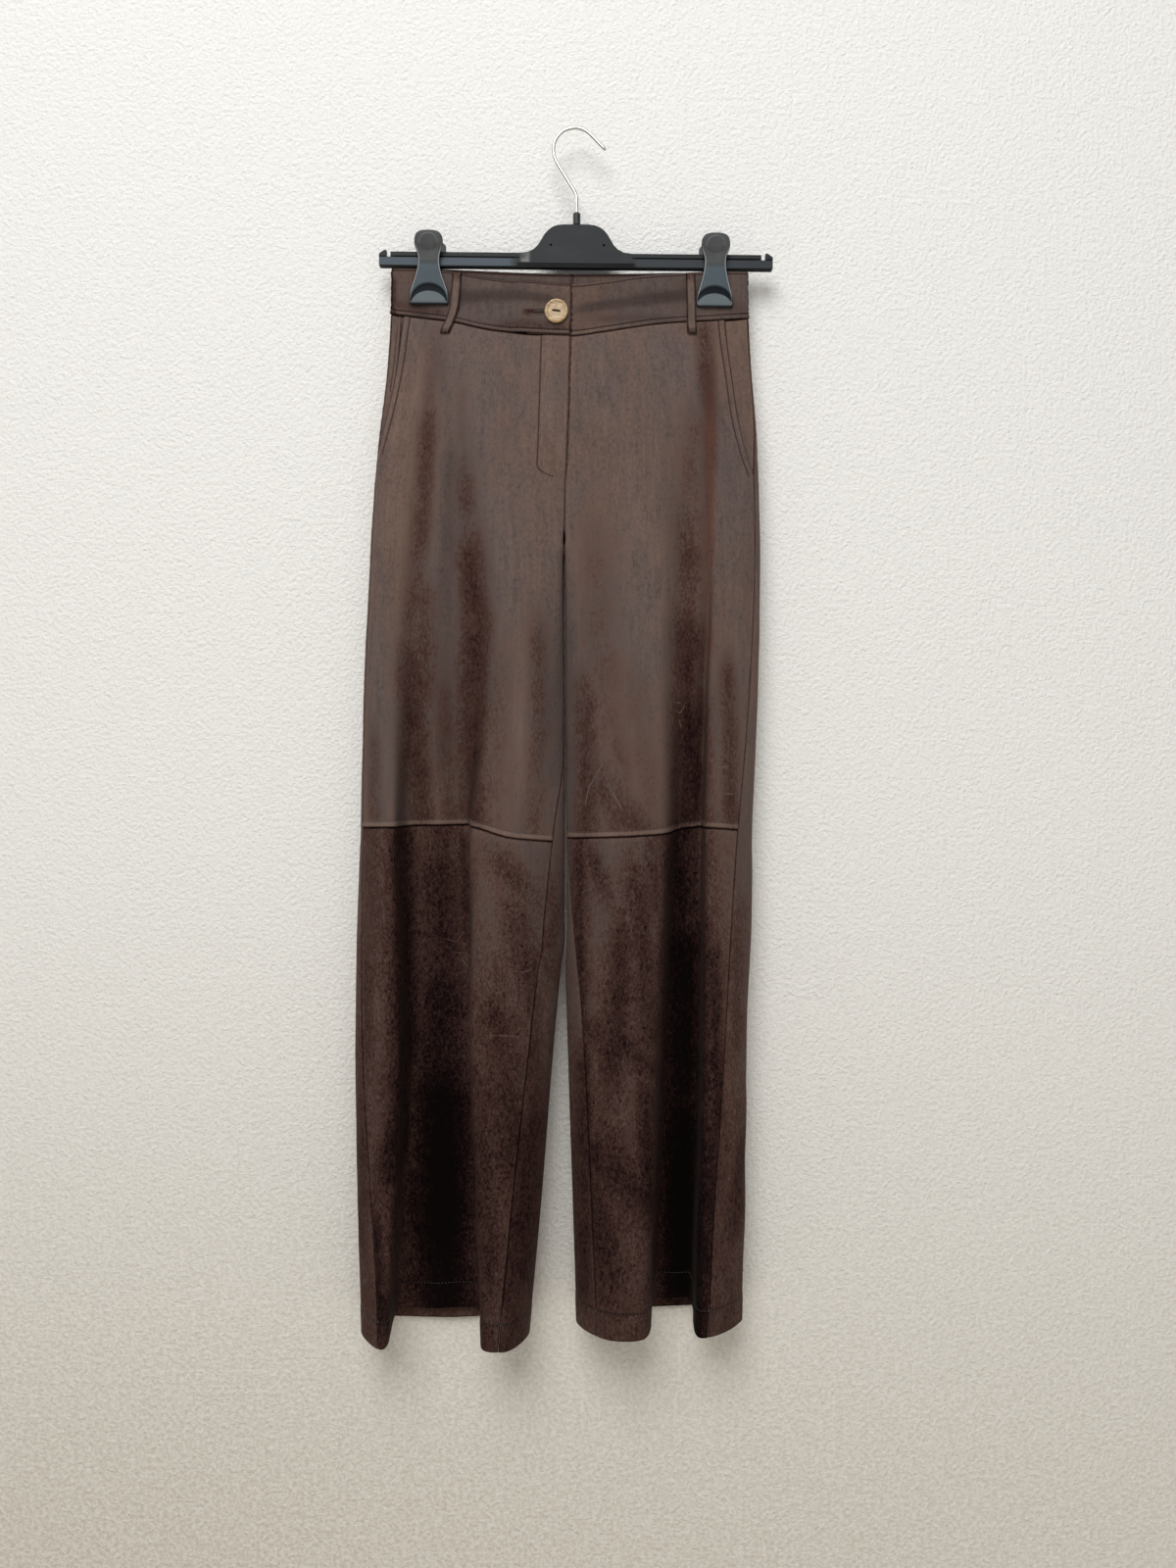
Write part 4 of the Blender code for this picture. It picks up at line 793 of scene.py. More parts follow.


# Dark streaks: crushed nap, and painted shade down the fold valleys that turns black under the knees.
DARK = {
    "front_thigh_left": rows(
        (-137, -215, -140, -300, 11, 0.24), (-140, -300, -146, -400, 11, 0.42),
        (-146, -400, -154, -470, 11, 0.34), (-144, -470, -142, -540, 16, 0.36),
        (-154, -535, -151, -620, 15, 0.58), (-151, -620, -148, -672, 15, 0.50),
        (-108, -270, -104, -350, 9, 0.16), (-104, -350, -98, -430, 12, 0.34),
        (-98, -430, -93, -500, 15, 0.58), (-95, -500, -98, -590, 18, 0.60),
        (-99, -590, -96, -668, 17, 0.58), (-124, -560, -122, -672, 12, 0.30),
        (-74, -545, -80, -650, 20, 0.22), (-36, -500, -34, -580, 11, 0.30),
        (-190, -600, -188, -655, 9, 0.26), (-36, -600, -40, -660, 12, 0.24),
    ),
    "front_thigh_right": rows(
        (124, -205, 124, -262, 10, 0.42), (112, -300, 106, -395, 15, 0.26),
        (106, -395, 108, -500, 15, 0.42), (106, -500, 108, -570, 17, 0.66),
        (108, -570, 109, -680, 18, 0.84), (20, -430, 26, -565, 20, 0.20),
        (10, -560, 12, -676, 13, 0.44), (30, -640, 56, -676, 22, 0.34),
        (143, -540, 146, -675, 10, 0.40), (36, -580, 46, -640, 12, 0.20),
        (60, -560, 70, -670, 14, 0.16),
    ),
    "front_shin_left": rows(
        (-192, -685, -188, -770, 17, 0.30), (-164, -685, -160, -880, 15, 0.72),
        (-162, -880, -170, -985, 12, 0.62), (-130, -690, -130, -740, 24, 0.50),
        (-130, -740, -130, -860, 26, 0.66), (-130, -860, -130, -960, 30, 0.80),
        (-130, -960, -130, -1060, 32, 1.10), (-134, -1060, -128, -1130, 34, 0.95),
        (-109, -690, -106, -780, 7, 0.60), (-52, -770, -44, -812, 16, 0.36),
        (-70, -860, -62, -960, 20, 0.40), (-84, -930, -84, -1010, 15, 0.34),
        (-84, -1010, -80, -1075, 14, 0.34), (-186, -1060, -182, -1120, 9, 0.62),
        (-194, -790, -196, -880, 8, 0.30), (-62, -716, -56, -724, 12, 0.34),
    ),
    "front_shin_right": rows(
        (4, -690, 6, -900, 8, 0.50), (6, -900, 10, -1090, 9, 0.72), (100, -690, 103, -800, 22, 0.86),
        (103, -800, 103, -905, 24, 1.06), (103, -905, 103, -975, 24, 0.62),
        (103, -975, 103, -1120, 24, 1.10), (42, -790, 36, -880, 14, 0.52),
        (24, -868, 60, -890, 16, 0.42), (58, -740, 66, -850, 14, 0.46), (30, -985, 58, -1010, 24, 0.42),
        (16, -1020, 24, -1060, 16, 0.40), (64, -930, 66, -1010, 9, 0.50),
        (128, -800, 132, -940, 9, 0.60), (126, -940, 128, -1130, 8, 0.55),
        (146, -1000, 146, -1090, 9, 0.46), (20, -712, 26, -728, 9, 0.38), (70, -700, 74, -740, 8, 0.40),
    ),
    "back_left": rows(
        (-42, -840, -46, -960, 12, 0.30), (-46, -960, -54, -1080, 14, 0.48),
        (-60, -1080, -64, -1150, 14, 0.29), (-24, -740, -26, -800, 10, 0.30),
        (-130, -300, -140, -520, 14, 0.43), (-140, -520, -146, -700, 18, 0.53),
        (-70, -420, -64, -640, 13, 0.40), (-142, -740, -148, -960, 24, 0.66),
        (-96, -800, -104, -1050, 16, 0.48), (-200, -800, -203, -1060, 8, 0.24),
        (-60, -640, -76, -800, 14, 0.36),
    ),
    "back_right": rows(
        (158, -980, 150, -1040, 8, 0.36), (152, -760, 150, -860, 8, 0.22),
        (118, -300, 126, -480, 13, 0.40), (126, -480, 118, -690, 17, 0.55),
        (62, -430, 56, -620, 13, 0.36), (112, -720, 106, -960, 24, 0.68),
        (60, -820, 52, -1040, 17, 0.49), (106, -960, 96, -1110, 18, 0.45),
        (8, -900, 10, -1100, 8, 0.40),
    ),
}
RUST = {
    "front_thigh_left": rows(
        (-137, -300, -142, -380, 15, 0.45), (-98, -420, -94, -520, 20, 0.40),
        (-22, -430, -26, -480, 8, 0.22), (-66, -260, -70, -330, 14, 0.25),
    ),
    "front_thigh_right": rows(
        (127, -250, 127, -330, 9, 0.95), (127, -330, 126, -420, 8, 0.80),
        (126, -420, 126, -500, 6, 0.75), (125, -500, 122, -672, 4, 0.55),
        (42, -535, 48, -610, 14, 0.40), (150, -300, 158, -330, 7, 0.25),
    ),
    "front_shin_left": rows(
        (-152, -690, -150, -800, 14, 0.50), (-106, -690, -104, -760, 6, 0.55),
        (-82, -880, -82, -930, 10, 0.35),
    ),
    "front_shin_right": rows(
        (12, -740, 14, -900, 8, 0.40), (26, -700, 52, -860, 18, 0.25),
        (124, -1000, 126, -1100, 6, 0.40),
    ),
    "back_left": rows(
        (-128, -420, -134, -560, 20, 0.40), (-70, -760, -80, -900, 22, 0.35),
    ),
    "back_right": rows(
        (108, -400, 112, -560, 20, 0.40), (60, -700, 52, -860, 22, 0.35),
        (158, -420, 152, -680, 8, 0.35),
    ),
}
# Light streaks: painted highlights, most of them along the fold crests.
LIGHT = {
    "front_thigh_left": rows(
        (-140, -215, -151, -262, 8, 0.40), (-25, -212, -24, -300, 8, 0.26),
        (-170, -270, -190, -440, 13, 0.30), (-186, -480, -186, -560, 10, 0.20),
        (-60, -560, -42, -640, 20, 0.30), (-72, -340, -62, -420, 18, 0.18),
    ),
    "front_thigh_right": rows(
        (60, -380, 78, -480, 22, 0.26), (84, -480, 86, -560, 12, 0.22), (24, -280, 34, -340, 16, 0.20),
        (150, -420, 152, -520, 9, 0.22), (80, -640, 82, -672, 12, 0.12),
    ),
    "front_shin_left": rows(
        (-80, -700, -52, -760, 22, 0.10), (-190, -800, -188, -860, 11, 0.14),
        (-186, -960, -184, -1010, 10, 0.10), (-80, -1100, -74, -1140, 14, 0.08),
    ),
    "front_shin_right": rows(
        (40, -690, 44, -770, 20, 0.14), (142, -700, 140, -760, 10, 0.24),
        (30, -930, 40, -965, 18, 0.14), (140, -900, 142, -960, 8, 0.12),
    ),
    "back_left": rows(
        (-100, -320, -104, -460, 20, 0.22), (-40, -500, -44, -620, 16, 0.20),
        (-60, -1000, -66, -1090, 14, 0.12),
    ),
    "back_right": rows(
        (80, -320, 90, -460, 20, 0.22), (30, -480, 34, -620, 16, 0.20), (150, -880, 148, -960, 7, 0.15),
    ),
}
# Places where the nap is cooler and greyer, and on the band fronts painted shade in the folds pulled by
# the button. They are painted as rust below zero.
CHILL = {
    "waistband_front_left": rows(
        (-150, -172, -150, -196, 10, 0.9), (-118, -162, -62, -166, 7, 1.1),
        (-62, -166, -30, -172, 5, 1.3),
    ),
    "waistband_front_right": rows(
        (14, -180, 60, -171, 5, 1.4), (60, -171, 104, -162, 6, 1.4), (30, -192, 90, -186, 4, 0.5),
    ),
    "front_thigh_left": rows(
        (-126, -235, -121, -330, 9, 0.60), (-121, -330, -122, -470, 10, 0.95),
        (-122, -470, -126, -600, 11, 0.75),
    ),
    "front_thigh_right": rows(
        (150, -200, 158, -300, 12, 0.35), (90, -300, 88, -380, 12, 0.35),
    ),
    "front_shin_left": rows(
        (-196, -690, -198, -800, 14, 0.5), (-90, -960, -88, -1010, 12, 0.35),
    ),
    "front_shin_right": rows(
        (64, -760, 66, -860, 12, 0.55), (146, -880, 148, -960, 10, 0.30),
    ),
}
GROUND = curve([(-1.160, 0.45), (-1.000, 0.41), (-0.880, 0.27), (-0.780, 0.18), (-0.690, 0.12), (-0.660, 0.06),
                (-0.560, 0.03), (-0.300, 0.0)])


POCKET_INSIDE = 100.0 * MM


def paints_of(name, x, z):
    """The painted numbers. The cloth also darkens slowly towards the hem."""
    dark = streaked(x, z, DARK.get(name, ()))
    return {"dark": dark + GROUND(z) * (1 - 0.35 * np.clip(dark, 0, 1)),
            "rust": streaked(x, z, RUST.get(name, ())) - streaked(x, z, CHILL.get(name, ())),
            "light": streaked(x, z, LIGHT.get(name, ()))}


def row_paint(*distances):
    """The signed distance in mm to the nearest row of stitches, plus ROW_MARK.

    A piece without rows has no such paint and reads 0 there, which is far from any row.
    """
    nearest = distances[0]
    for other in distances[1:]:
        nearest = np.where(np.abs(other) < np.abs(nearest), other, nearest)
    return ROW_MARK + np.clip(nearest / MM, -40, 40)


def seam_shadow(panel, paints):
    """Painted shade in the seams, along each top edge, in the pocket mouth and between the legs; a painted
    highlight on the raised cloth beside the seams.
    """
    edge = np.minimum(np.minimum(panel.from_start, panel.from_end),
                      np.minimum(panel.from_top, panel.from_bottom))
    sides = 0.40 * (1 - ease(edge, 0.2 * MM, 1.3 * MM))
    top = 0.45 * (1 - ease(panel.from_top, 0.4 * MM, 1.8 * MM))
    mouth = (panel.z > POCKET_FOOT[panel.leg.side]) * (np.abs(panel.x) > POCKET_INSIDE)
    mouth = 0.45 * mouth * (1 - ease(panel.from_start, 0.6 * MM, 2.0 * MM))
    between = ease(-panel.z, 425 * MM, 450 * MM) * (1 - ease(-panel.z, 640 * MM, 690 * MM))
    inner = np.abs(panel.x - panel.leg.inner_edge(panel.z))
    between = 0.9 * between * (1 - ease(inner, 1.0 * MM, 3.0 * MM))
    paints["dark"] = paints["dark"] + sides + top + mouth + between
    beside = (1 - ease(edge, 3.0 * MM, 6.0 * MM)) * ease(edge, 1.0 * MM, 2.0 * MM)
    paints["light"] = paints["light"] + 0.24 * beside


def knee_paint(panel, paints):
    """A painted highlight on the raised welt over the knee seam, where the dark paint is eased."""
    over = panel.from_bottom
    welted = ease(over, 0.8 * MM, 1.6 * MM) * (1 - ease(over, 4.4 * MM, 5.4 * MM))
    paints["light"] = paints["light"] + 0.60 * welted
    paints["dark"] = paints["dark"] * (1 - 0.55 * welted)


# %% [markdown]
# ## Sewing thread
# Every seam is held by a row of short stitches, about three millimetres apart. One stitch is a
# small tapered tube that dips into the cloth at both ends. All the stitches of a piece make one
# object, named after it, that rides on the garment. The paths come from the panel itself, at a set
# distance from an edge.

# %% Thread
PITCH = 3.4 * MM
STITCH_LENGTH = 2.6 * MM
STITCH_RADIUS = 0.30 * MM
SIDES = 5
STITCH_SHAPE = ((-0.5, 0.35, -0.8), (-0.32, 0.95, 0.1), (0.32, 0.95, 0.1), (0.5, 0.35, -0.8))
THREAD_DARK, THREAD_PALE = (0.016, 0.010, 0.008), (0.038, 0.025, 0.020)


def thread_finish():
    thread = Finish("sewing_thread", Roughness=0.62, Sheen_Weight=0.2)
    twist = thread.noise(1800.0, 2.0, 0.6)
    thread.feed(Base_Color=thread.blend(twist.ramp(0.3, 0.7), THREAD_DARK, THREAD_PALE))
    thread.bump(twist, 0.1 * MM, 0.5)
    return thread.material


THREAD = thread_finish()


def seam_line(panel, edge, distance):
    """A line at a distance from one edge of a panel: points on its face and the way out of it."""
    measure = getattr(panel, "from_" + edge)
    layers = np.concatenate((panel.face, panel.normal), -1)
    if edge in ("top", "bottom"):
        measure, layers = measure.T, layers.transpose(1, 0, 2)
    if edge in ("end", "bottom"):
        measure, layers = measure[:, ::-1], layers[:, ::-1]
    distance = np.broadcast_to(distance, len(measure))
    return np.array([[np.interp(d, at, layer) for layer in row.T]
                     for d, at, row in zip(distance, measure, layers)])


def even_spots(path, pitch, offset=0.0):
    """Points at even distances along a path."""
    run = np.concatenate(([0.0], np.cumsum(np.linalg.norm(np.diff(path[:, :3], axis=0), axis=1))))
    count = max(1, int(run[-1] / pitch))
    at = (np.arange(count) + 0.5) * run[-1] / count + offset
    return np.stack([np.interp(at, run, column) for column in path.T], 1)


def unit(vectors):
    return vectors / np.maximum(np.linalg.norm(vectors, axis=-1, keepdims=True), 1e-12)


def riding(name, vertices, faces, finish):
    """A mesh object that hangs on the garment, with the finish it is given."""
    made = new_object(name, vertices, faces, finish)
    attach(made, "root")
    return made


def tubes(name, rings, finish):
    """Short closed tubes. rings has the axes tube, ring, side and xyz."""
    count, lengths, sides = rings.shape[:3]
    a = np.arange(sides)
    b = (a + 1) % sides
    ring = np.arange(lengths - 1)[:, None] * sides
    walls = np.stack((ring + a, ring + b, ring + sides + b, ring + sides + a), -1).reshape(-1, 4)
    start = np.arange(count)[:, None, None] * lengths * sides
    faces = (start + walls).reshape(-1, 4).tolist()
    last = (lengths - 1) * sides
    for first in range(0, count * lengths * sides, lengths * sides):
        faces.append(list(range(first + sides - 1, first - 1, -1)))
        faces.append(list(range(first + last, first + last + sides)))
    return riding(name, rings.reshape(-1, 3).tolist(), faces, finish)


def rims(along, out, sides, squash=1.0):
    """A circle across each point of a path, as unit steps; squash makes it an oval."""
    across = unit(np.cross(along, out))[:, None]
    turn = np.linspace(0, 2 * math.pi, sides, endpoint=False)[None, :, None]
    return np.cos(turn) * across + squash * np.sin(turn) * out[:, None]


def stitch_rings(spots, along, out, length, radius):
    """Rings of stitches that lie along a path, each ring at its own share, width and height."""
    rim = rims(along, out, SIDES)
    rings = []
    for share, width, height in STITCH_SHAPE:
        middle = spots + along * (share * length) + out * (height * radius)
        rings.append(middle[:, None] + rim * width * radius)
    return np.stack(rings, 1)


def stitches(name, paths, pitch=PITCH, length=STITCH_LENGTH, radius=STITCH_RADIUS):
    """Rows of stitches along paths of points and outward directions."""
    rings = []
    for path in paths:
        spots = even_spots(path, pitch)
        along = unit((even_spots(path, pitch, 0.4 * MM) - even_spots(path, pitch, -0.4 * MM))[:, :3])
        rings.append(stitch_rings(spots[:, :3], along, unit(spots[:, 3:]), length, radius))
    return tubes(name, np.concatenate(rings), THREAD)


# %% [markdown]
# ## Fronts: thigh and shin panels
# Each front is cut in two at the knee. The thigh runs from the waistband to the knee seam, with the
# pocket mouth as its upper outer edge and the fly at the centre. The shin runs on to the hem.
# Both are laid as panels on the leg's skin, and the seams' relief is added to them.

# %% Edges and the fly
FLY_STITCH = 27.0 * MM
FLY_STITCH_FOOT = -346.0 * MM
FLY_STITCH_TURN = 14.0 * MM
HEM_STITCH = 25.0 * MM
KNEE_WELT = 5.0 * MM
POCKET_STITCH = 6.8 * MM
FAR_OFF = 40.0 * MM


def side_by(function):
    """An edge that is given by its place across, as a Panel asks for it."""
    return lambda x, mark: function(x)


def level(z):
    return lambda x, mark: np.full(np.shape(x), z)


def hem_edge(leg):
    """The front hem rides up where the front is pushed back."""
    def height(x, mark):
        return leg.hem + HEM_RISE * ease(mark, 1.2, 2.2) * (1 - ease(mark, 3.9, 4.9))
    return height


def fly_stitch(z):
    """How far from the fly's edge its stitching runs: straight down, then curving in to the edge."""
    down = np.clip((FLY_STITCH_FOOT + FLY_STITCH_TURN - z) / FLY_STITCH_TURN, 0, 1)
    return FLY_STITCH * np.sqrt(np.clip(1 - down ** 2.4, 0, 1))


def thigh_relief(panel, leg, hang_seed):
    """Heights of a thigh: rolled edges, knee welt, pocket mouth and, on the left, the fly."""
    top, bottom, start, end = panel.from_top, panel.from_bottom, panel.from_start, panel.from_end
    pocket = ease(panel.z, POCKET_FOOT[leg.side] - 4 * MM, POCKET_FOOT[leg.side] + 4 * MM)
    lift = roll(top, 1.0 * MM, 2.2 * MM) + roll(bottom, 1.0 * MM, 1.5 * MM)
    lift += welt(bottom, KNEE_WELT, 0.55 * MM) + groove(bottom - KNEE_WELT - 1 * MM, 0.22 * MM)
    lift += roll(start, 0.8 * MM + 0.3 * MM * pocket, 1.6 * MM)
    hemmed = 0.5 * MM * (1 - ease(start, 6.2 * MM, 9 * MM)) + groove(start - POCKET_STITCH, 0.3 * MM)
    lift += pocket * hemmed + (1 - pocket) * pucker(panel.z, start, 3)
    lift += pucker(panel.z, end, 5) * ease(-panel.z, 0.42, 0.45)
    gathers = pucker(panel.x, bottom - KNEE_WELT, 8, 0.24 * MM, 7 * MM, 9 * MM)
    lift += gathers * ease(bottom, 5 * MM, 8 * MM)
    lift += hang(panel, hang_seed, 0.9 * MM)
    if leg.side == "right":
        return lift + roll(end, 1.1 * MM, 2.5 * MM)
    fly = ease(panel.z, FLY_FOOT - 4 * MM, FLY_FOOT + 16 * MM)
    lift += FLY_LIFT * ease(-end, -34 * MM, -20 * MM) * fly
    lift += roll(end, 0.35 * MM, 1.0 * MM) * fly + roll(end, 1.1 * MM, 2.5 * MM) * (1 - fly)
    beside = (end - fly_stitch(panel.z)) * ease(panel.z, FLY_STITCH_FOOT - 1 * MM, FLY_STITCH_FOOT)
    above = ease(panel.z, FLY_STITCH_FOOT - 3 * MM, FLY_STITCH_FOOT)
    return lift + groove(beside, 0.45 * MM, 1.2 * MM) * above


def hemmed_relief(panel, top_depth, start_seed, end_seed):
    """Heights that shins and backs share: rolled edges, gathered sides and the turned-up hem."""
    bottom = panel.from_bottom
    lift = roll(panel.from_top, top_depth, 2.2 * MM) + roll(panel.from_start) + roll(panel.from_end)
    lift += pucker(panel.z, panel.from_start, start_seed) + pucker(panel.z, panel.from_end, end_seed)
    lift += 0.5 * MM * (1 - ease(bottom, HEM_STITCH - 1 * MM, HEM_STITCH + 2 * MM))
    return lift + groove(bottom - HEM_STITCH, 0.45 * MM) + roll(bottom, 0.7 * MM, 1.4 * MM)


def shin_relief(panel, hang_seed):
    lift = hemmed_relief(panel, 1.1 * MM, 6, 7) + hang(panel, hang_seed, 1.0 * MM)
    return lift + pucker(panel.x, panel.from_top, 4, 0.24 * MM, 9 * MM, 8 * MM)


# %% Small creases, in millimetres across and down from the hook
CREASES = {
    "front_thigh_right": (
        ((28.4, -600.6), (25.6, -614.5), (20.5, -623.8), (12.6, -636.7), (9.9, -650.6), (8.9, -675.6)),
        ((25.6, -614.5), (31.6, -635.8), (37.6, -646.0), (42.6, -655.8), (43.6, -661.7)),
        ((93.1, -555.0), (97.7, -556.0), (101.4, -554.4)),
        ((92.7, -563.6), (98.6, -565.5), (103.7, -559.6), (107.9, -546.5)),
        ((96.8, -567.3), (99.6, -577.5), (101.2, -580.3)),
        ((128.9, -618.2), (136.6, -617.7), (147.7, -615.4)),
        ((135.7, -641.8), (150.9, -642.8)),
    ),
    "front_shin_left": (
        ((-84.0, -721.8), (-76.6, -722.7), (-72.8, -725.0), (-66.0, -726.4)),
        ((-132.6, -777.3), (-123.6, -783.3), (-115.0, -785.6), (-110.0, -777.3), (-105.1, -769.9)),
        ((-112.5, -784.7), (-106.3, -788.4), (-99.5, -788.9)),
        ((-123.6, -795.8), (-112.5, -796.4), (-100.2, -795.8)),
        ((-112.5, -798.2), (-107.6, -806.9), (-101.3, -813.0)),
        ((-82.7, -811.5), (-74.3, -826.3)),
        ((-69.1, -804.1), (-49.4, -807.8), (-33.3, -803.2)),
        ((-55.5, -781.0), (-45.7, -790.7)),
        ((-84.0, -865.2), (-67.9, -865.6), (-43.2, -867.6)),
    ),
    "front_shin_right": (
        ((128.2, -752.8), (133.8, -754.6), (138.0, -759.5), (144.3, -763.9)),
        ((130.7, -755.1), (129.4, -761.4), (132.9, -772.7)),
        ((19.1, -784.7), (20.0, -799.5), (21.0, -803.2)),
    ),
}
CREASE_WIDTH = 0.85 * MM
CREASE_SHAPE = np.sin(np.linspace(0.06, math.pi - 0.06, 15)) ** 0.6


def face_at(panel, x, z):
    """Points on a panel's face, and the ways out of it, at places across and down."""
    flat_x, flat_z = panel.x.ravel(), panel.z.ravel()
    near = np.array([np.argmin((flat_x - a) ** 2 + (flat_z - b) ** 2) for a, b in zip(x, z)])
    height = ((panel.face - panel.points) * panel.normal).sum(-1).ravel()[near]
    mark = panel.leg.station_at(x, z)
    out = panel.leg.outward(mark, z)
    return panel.leg.skin(mark, z) + out * height[:, None], out


def creases(name, panel):
    """Thin raised lines where the cloth was pinched, tapering out at both ends."""
    rings = []
    for line in CREASES[name]:
        points = np.array(line) * MM
        t = np.linspace(0, len(points) - 1, len(CREASE_SHAPE))
        x, z = (np.interp(t, np.arange(len(points)), column) for column in points.T)
        spots, out = face_at(panel, x, z)
        rim = rims(unit(np.gradient(spots, axis=0)), out, 8, 0.7)
        middle = spots - out * 0.45 * CREASE_WIDTH
        rings.append(middle[:, None] + rim * (CREASE_WIDTH * CREASE_SHAPE)[:, None, None])
    made = tubes(name + "_creases", np.stack(rings), SUEDE[name.split("_")[1]])
    for paint_name, value in (("light", 0.20), ("dark", float(GROUND(points[:, 1].mean())))):
        paint_points(made.data, paint_name, np.full(len(made.data.vertices), value))
    return made


# %% Sewing a panel
def rows_along(*table):
    """Rows of stitches at set distances from edges: their paths, and each point's distance to them."""
    def sewing(panel):
        return ([seam_line(panel, edge, distance) for edge, distance in table],
                [getattr(panel, "from_" + edge) - distance for edge, distance in table])
    return sewing


hem_sewing = rows_along(("bottom", HEM_STITCH))


def thigh_sewing(panel):
    """Rows at the knee welt, at the pocket mouth, and on the left front along the curved fly."""
    pocket_foot = POCKET_FOOT[panel.leg.side] + 4 * MM
    pocket = seam_line(panel, "start", POCKET_STITCH)
    paths = [seam_line(panel, "bottom", KNEE_WELT + 0.8 * MM), pocket[pocket[:, 2] > pocket_foot]]
    lines = [np.where(panel.z > pocket_foot, panel.from_start - POCKET_STITCH, FAR_OFF)]
    if panel.leg.side == "left":
        height, fly_foot = panel.z[:, -1], FLY_STITCH_FOOT - 1 * MM
        paths.append(seam_line(panel, "end", fly_stitch(height))[height > fly_foot])
        lines.append(np.where(panel.z > fly_foot, panel.from_end - fly_stitch(panel.z), FAR_OFF))
    return paths, lines


def finish_panel(name, panel, lift, finish, thickness, sewing=None, paint_as=None, extras=()):
    """The panel's face becomes a thin shell in place of its solid, with its rows of stitches."""
    panel.face = panel.points + panel.normal * (thickness + lift)[..., None]
    paints = paints_of(paint_as or name, panel.x, panel.z)
    seam_shadow(panel, paints)
    if name.startswith("front_thigh"):
        knee_paint(panel, paints)
    paths, lines = sewing(panel) if sewing else ((), ())
    if lines:
        paints["row"] = row_paint(*lines)
    made = sheet_mesh(name + "_cloth", panel.face, finish, thickness, paints, panel.leg is RIGHT)
    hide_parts(name)
    pieces = [stitches(name + "_stitches", paths)] if paths else []
    if name in CREASES:
        pieces.append(creases(name, panel))
    cut = panel.size if name.startswith("waistband") else cut_size(panel.face)
    sewn(made, panel.face, cut, pieces + list(extras))


# %% Make the fronts
for leg, thigh_seed, shin_seed in ((LEFT, 11, 31), (RIGHT, 23, 47)):
    knee, band = side_by(leg.knee), [f"waistband_front_{leg.side}"]
    thigh = Panel(leg, leg.front_edge, leg.inseam, side_by(band_seam_front), knee, (-0.195, -0.680))
    shin = Panel(leg, leg.outseam, leg.inseam, knee, hem_edge(leg), (-0.680, leg.hem))
    finish_panel(f"front_thigh_{leg.side}", thigh, thigh_relief(thigh, leg, thigh_seed),
                 SUEDE["thigh"], CLOTH, thigh_sewing)
    finish_panel(f"front_shin_{leg.side}", shin, shin_relief(shin, shin_seed),
                 SUEDE["shin"], CLOTH, hem_sewing)

# %% [markdown]
# ## Backs
# A back panel is one long piece from waistband to hem. It starts at the inseam, lies flat against
# the wall and curls forward round the side to meet the front. The two backs meet in a
# centre seam over the seat, and part below the crotch.

# %% Make the backs
BACK_STEP = 3.0 * MM


def seat_edge(leg):
    """The back's inner edge: the centre seam down to the crotch, and the inseam under it."""
    def mark(z):
        turn = BACK_IN - 0.5 * ease(-z, -CROTCH_TOP, -CROTCH_FOOT)
        return np.where(z > CROTCH_FOOT, turn, leg.inseam(z))
    return mark


def side_edge(leg):
    return lambda z: MARKS + leg.outseam(z)


for leg, back_seed in ((LEFT, 61), (RIGHT, 73)):
    panel = Panel(leg, seat_edge(leg), side_edge(leg), side_by(band_seam_back), level(leg.hem),
                  (-0.185, leg.hem), BACK_STEP)
    lift = hemmed_relief(panel, 1.0 * MM, 2, 9) + hang(panel, back_seed, 1.1 * MM)
    finish_panel(f"back_{leg.side}", panel, lift, SUEDE["back"], CLOTH,
                 hem_sewing)

# %% [markdown]
# ## Hip pieces
# Outside each slanting pocket mouth a hip piece shows, and runs on under the front as the pocket's
# back layer. It sinks under the front's edge over the width of the mouth, so the two never meet.

# %% Make the hip pieces
POCKET_UNDER = CLOTH + 0.6 * MM
POCKET_HIDDEN = 0.22


def pocket_end(leg):
    return lambda z: np.maximum(leg.front_edge(z), leg.outseam(z) + 0.10) + POCKET_HIDDEN


for leg in LEGS:
    name = f"pocket_side_{leg.side}"
    foot = POCKET_FOOT[leg.side] - 10 * MM
    panel = Panel(leg, leg.outseam, pocket_end(leg), side_by(band_seam_front), level(foot),
                  (-0.185, foot))
    mouth = leg.front_edge(panel.z) - leg.outseam(panel.z)
    share = (panel.mark - leg.outseam(panel.z)) / np.maximum(mouth, 0.02)
    lift = -POCKET_UNDER * np.where(mouth > 0.02, ease(share, 0.0, 0.65), 1.0)
    lift += roll(panel.from_start) + roll(panel.from_top, 1.0 * MM, 2.2 * MM)
    finish_panel(name, panel, lift, SUEDE["back"], CLOTH,
                 paint_as=f"back_{leg.side}")

# %% [markdown]
# ## Waistband
# The band is two layers of cloth round a stiffener, so it is thicker than the legs. It is cut
# in four: a left front that ends in the buttonhole, a right front that runs on under it, and two
# backs that meet at the centre. Its lower edge is pressed out over a row of stitches.

# %% Waistband
BAND_TOP_STITCH = 2.6 * MM
BAND_FOOT_STITCH = 4.2 * MM
BAND_GUESS = (-0.150, -0.195)

BandFold = namedtuple("BandFold", "x_from x_to z height half_width")
BAND_FOLDS = table_of(
    BandFold,
    (-112, -62, -170.0, -1.0, 4.0), (-108, -70, -161.0, 0.5, 3.5),
    (26, 104, -168.0, -0.9, 4.5), (30, 96, -158.0, 0.5, 4.0),
    (-166, -150, -166.0, -0.6, 3.5), (146, 160, -168.0, -0.6, 3.5),
)


def overlap_lift(x):
    return OVERLAP_LIFT * ease(x, -66 * MM, -48 * MM)


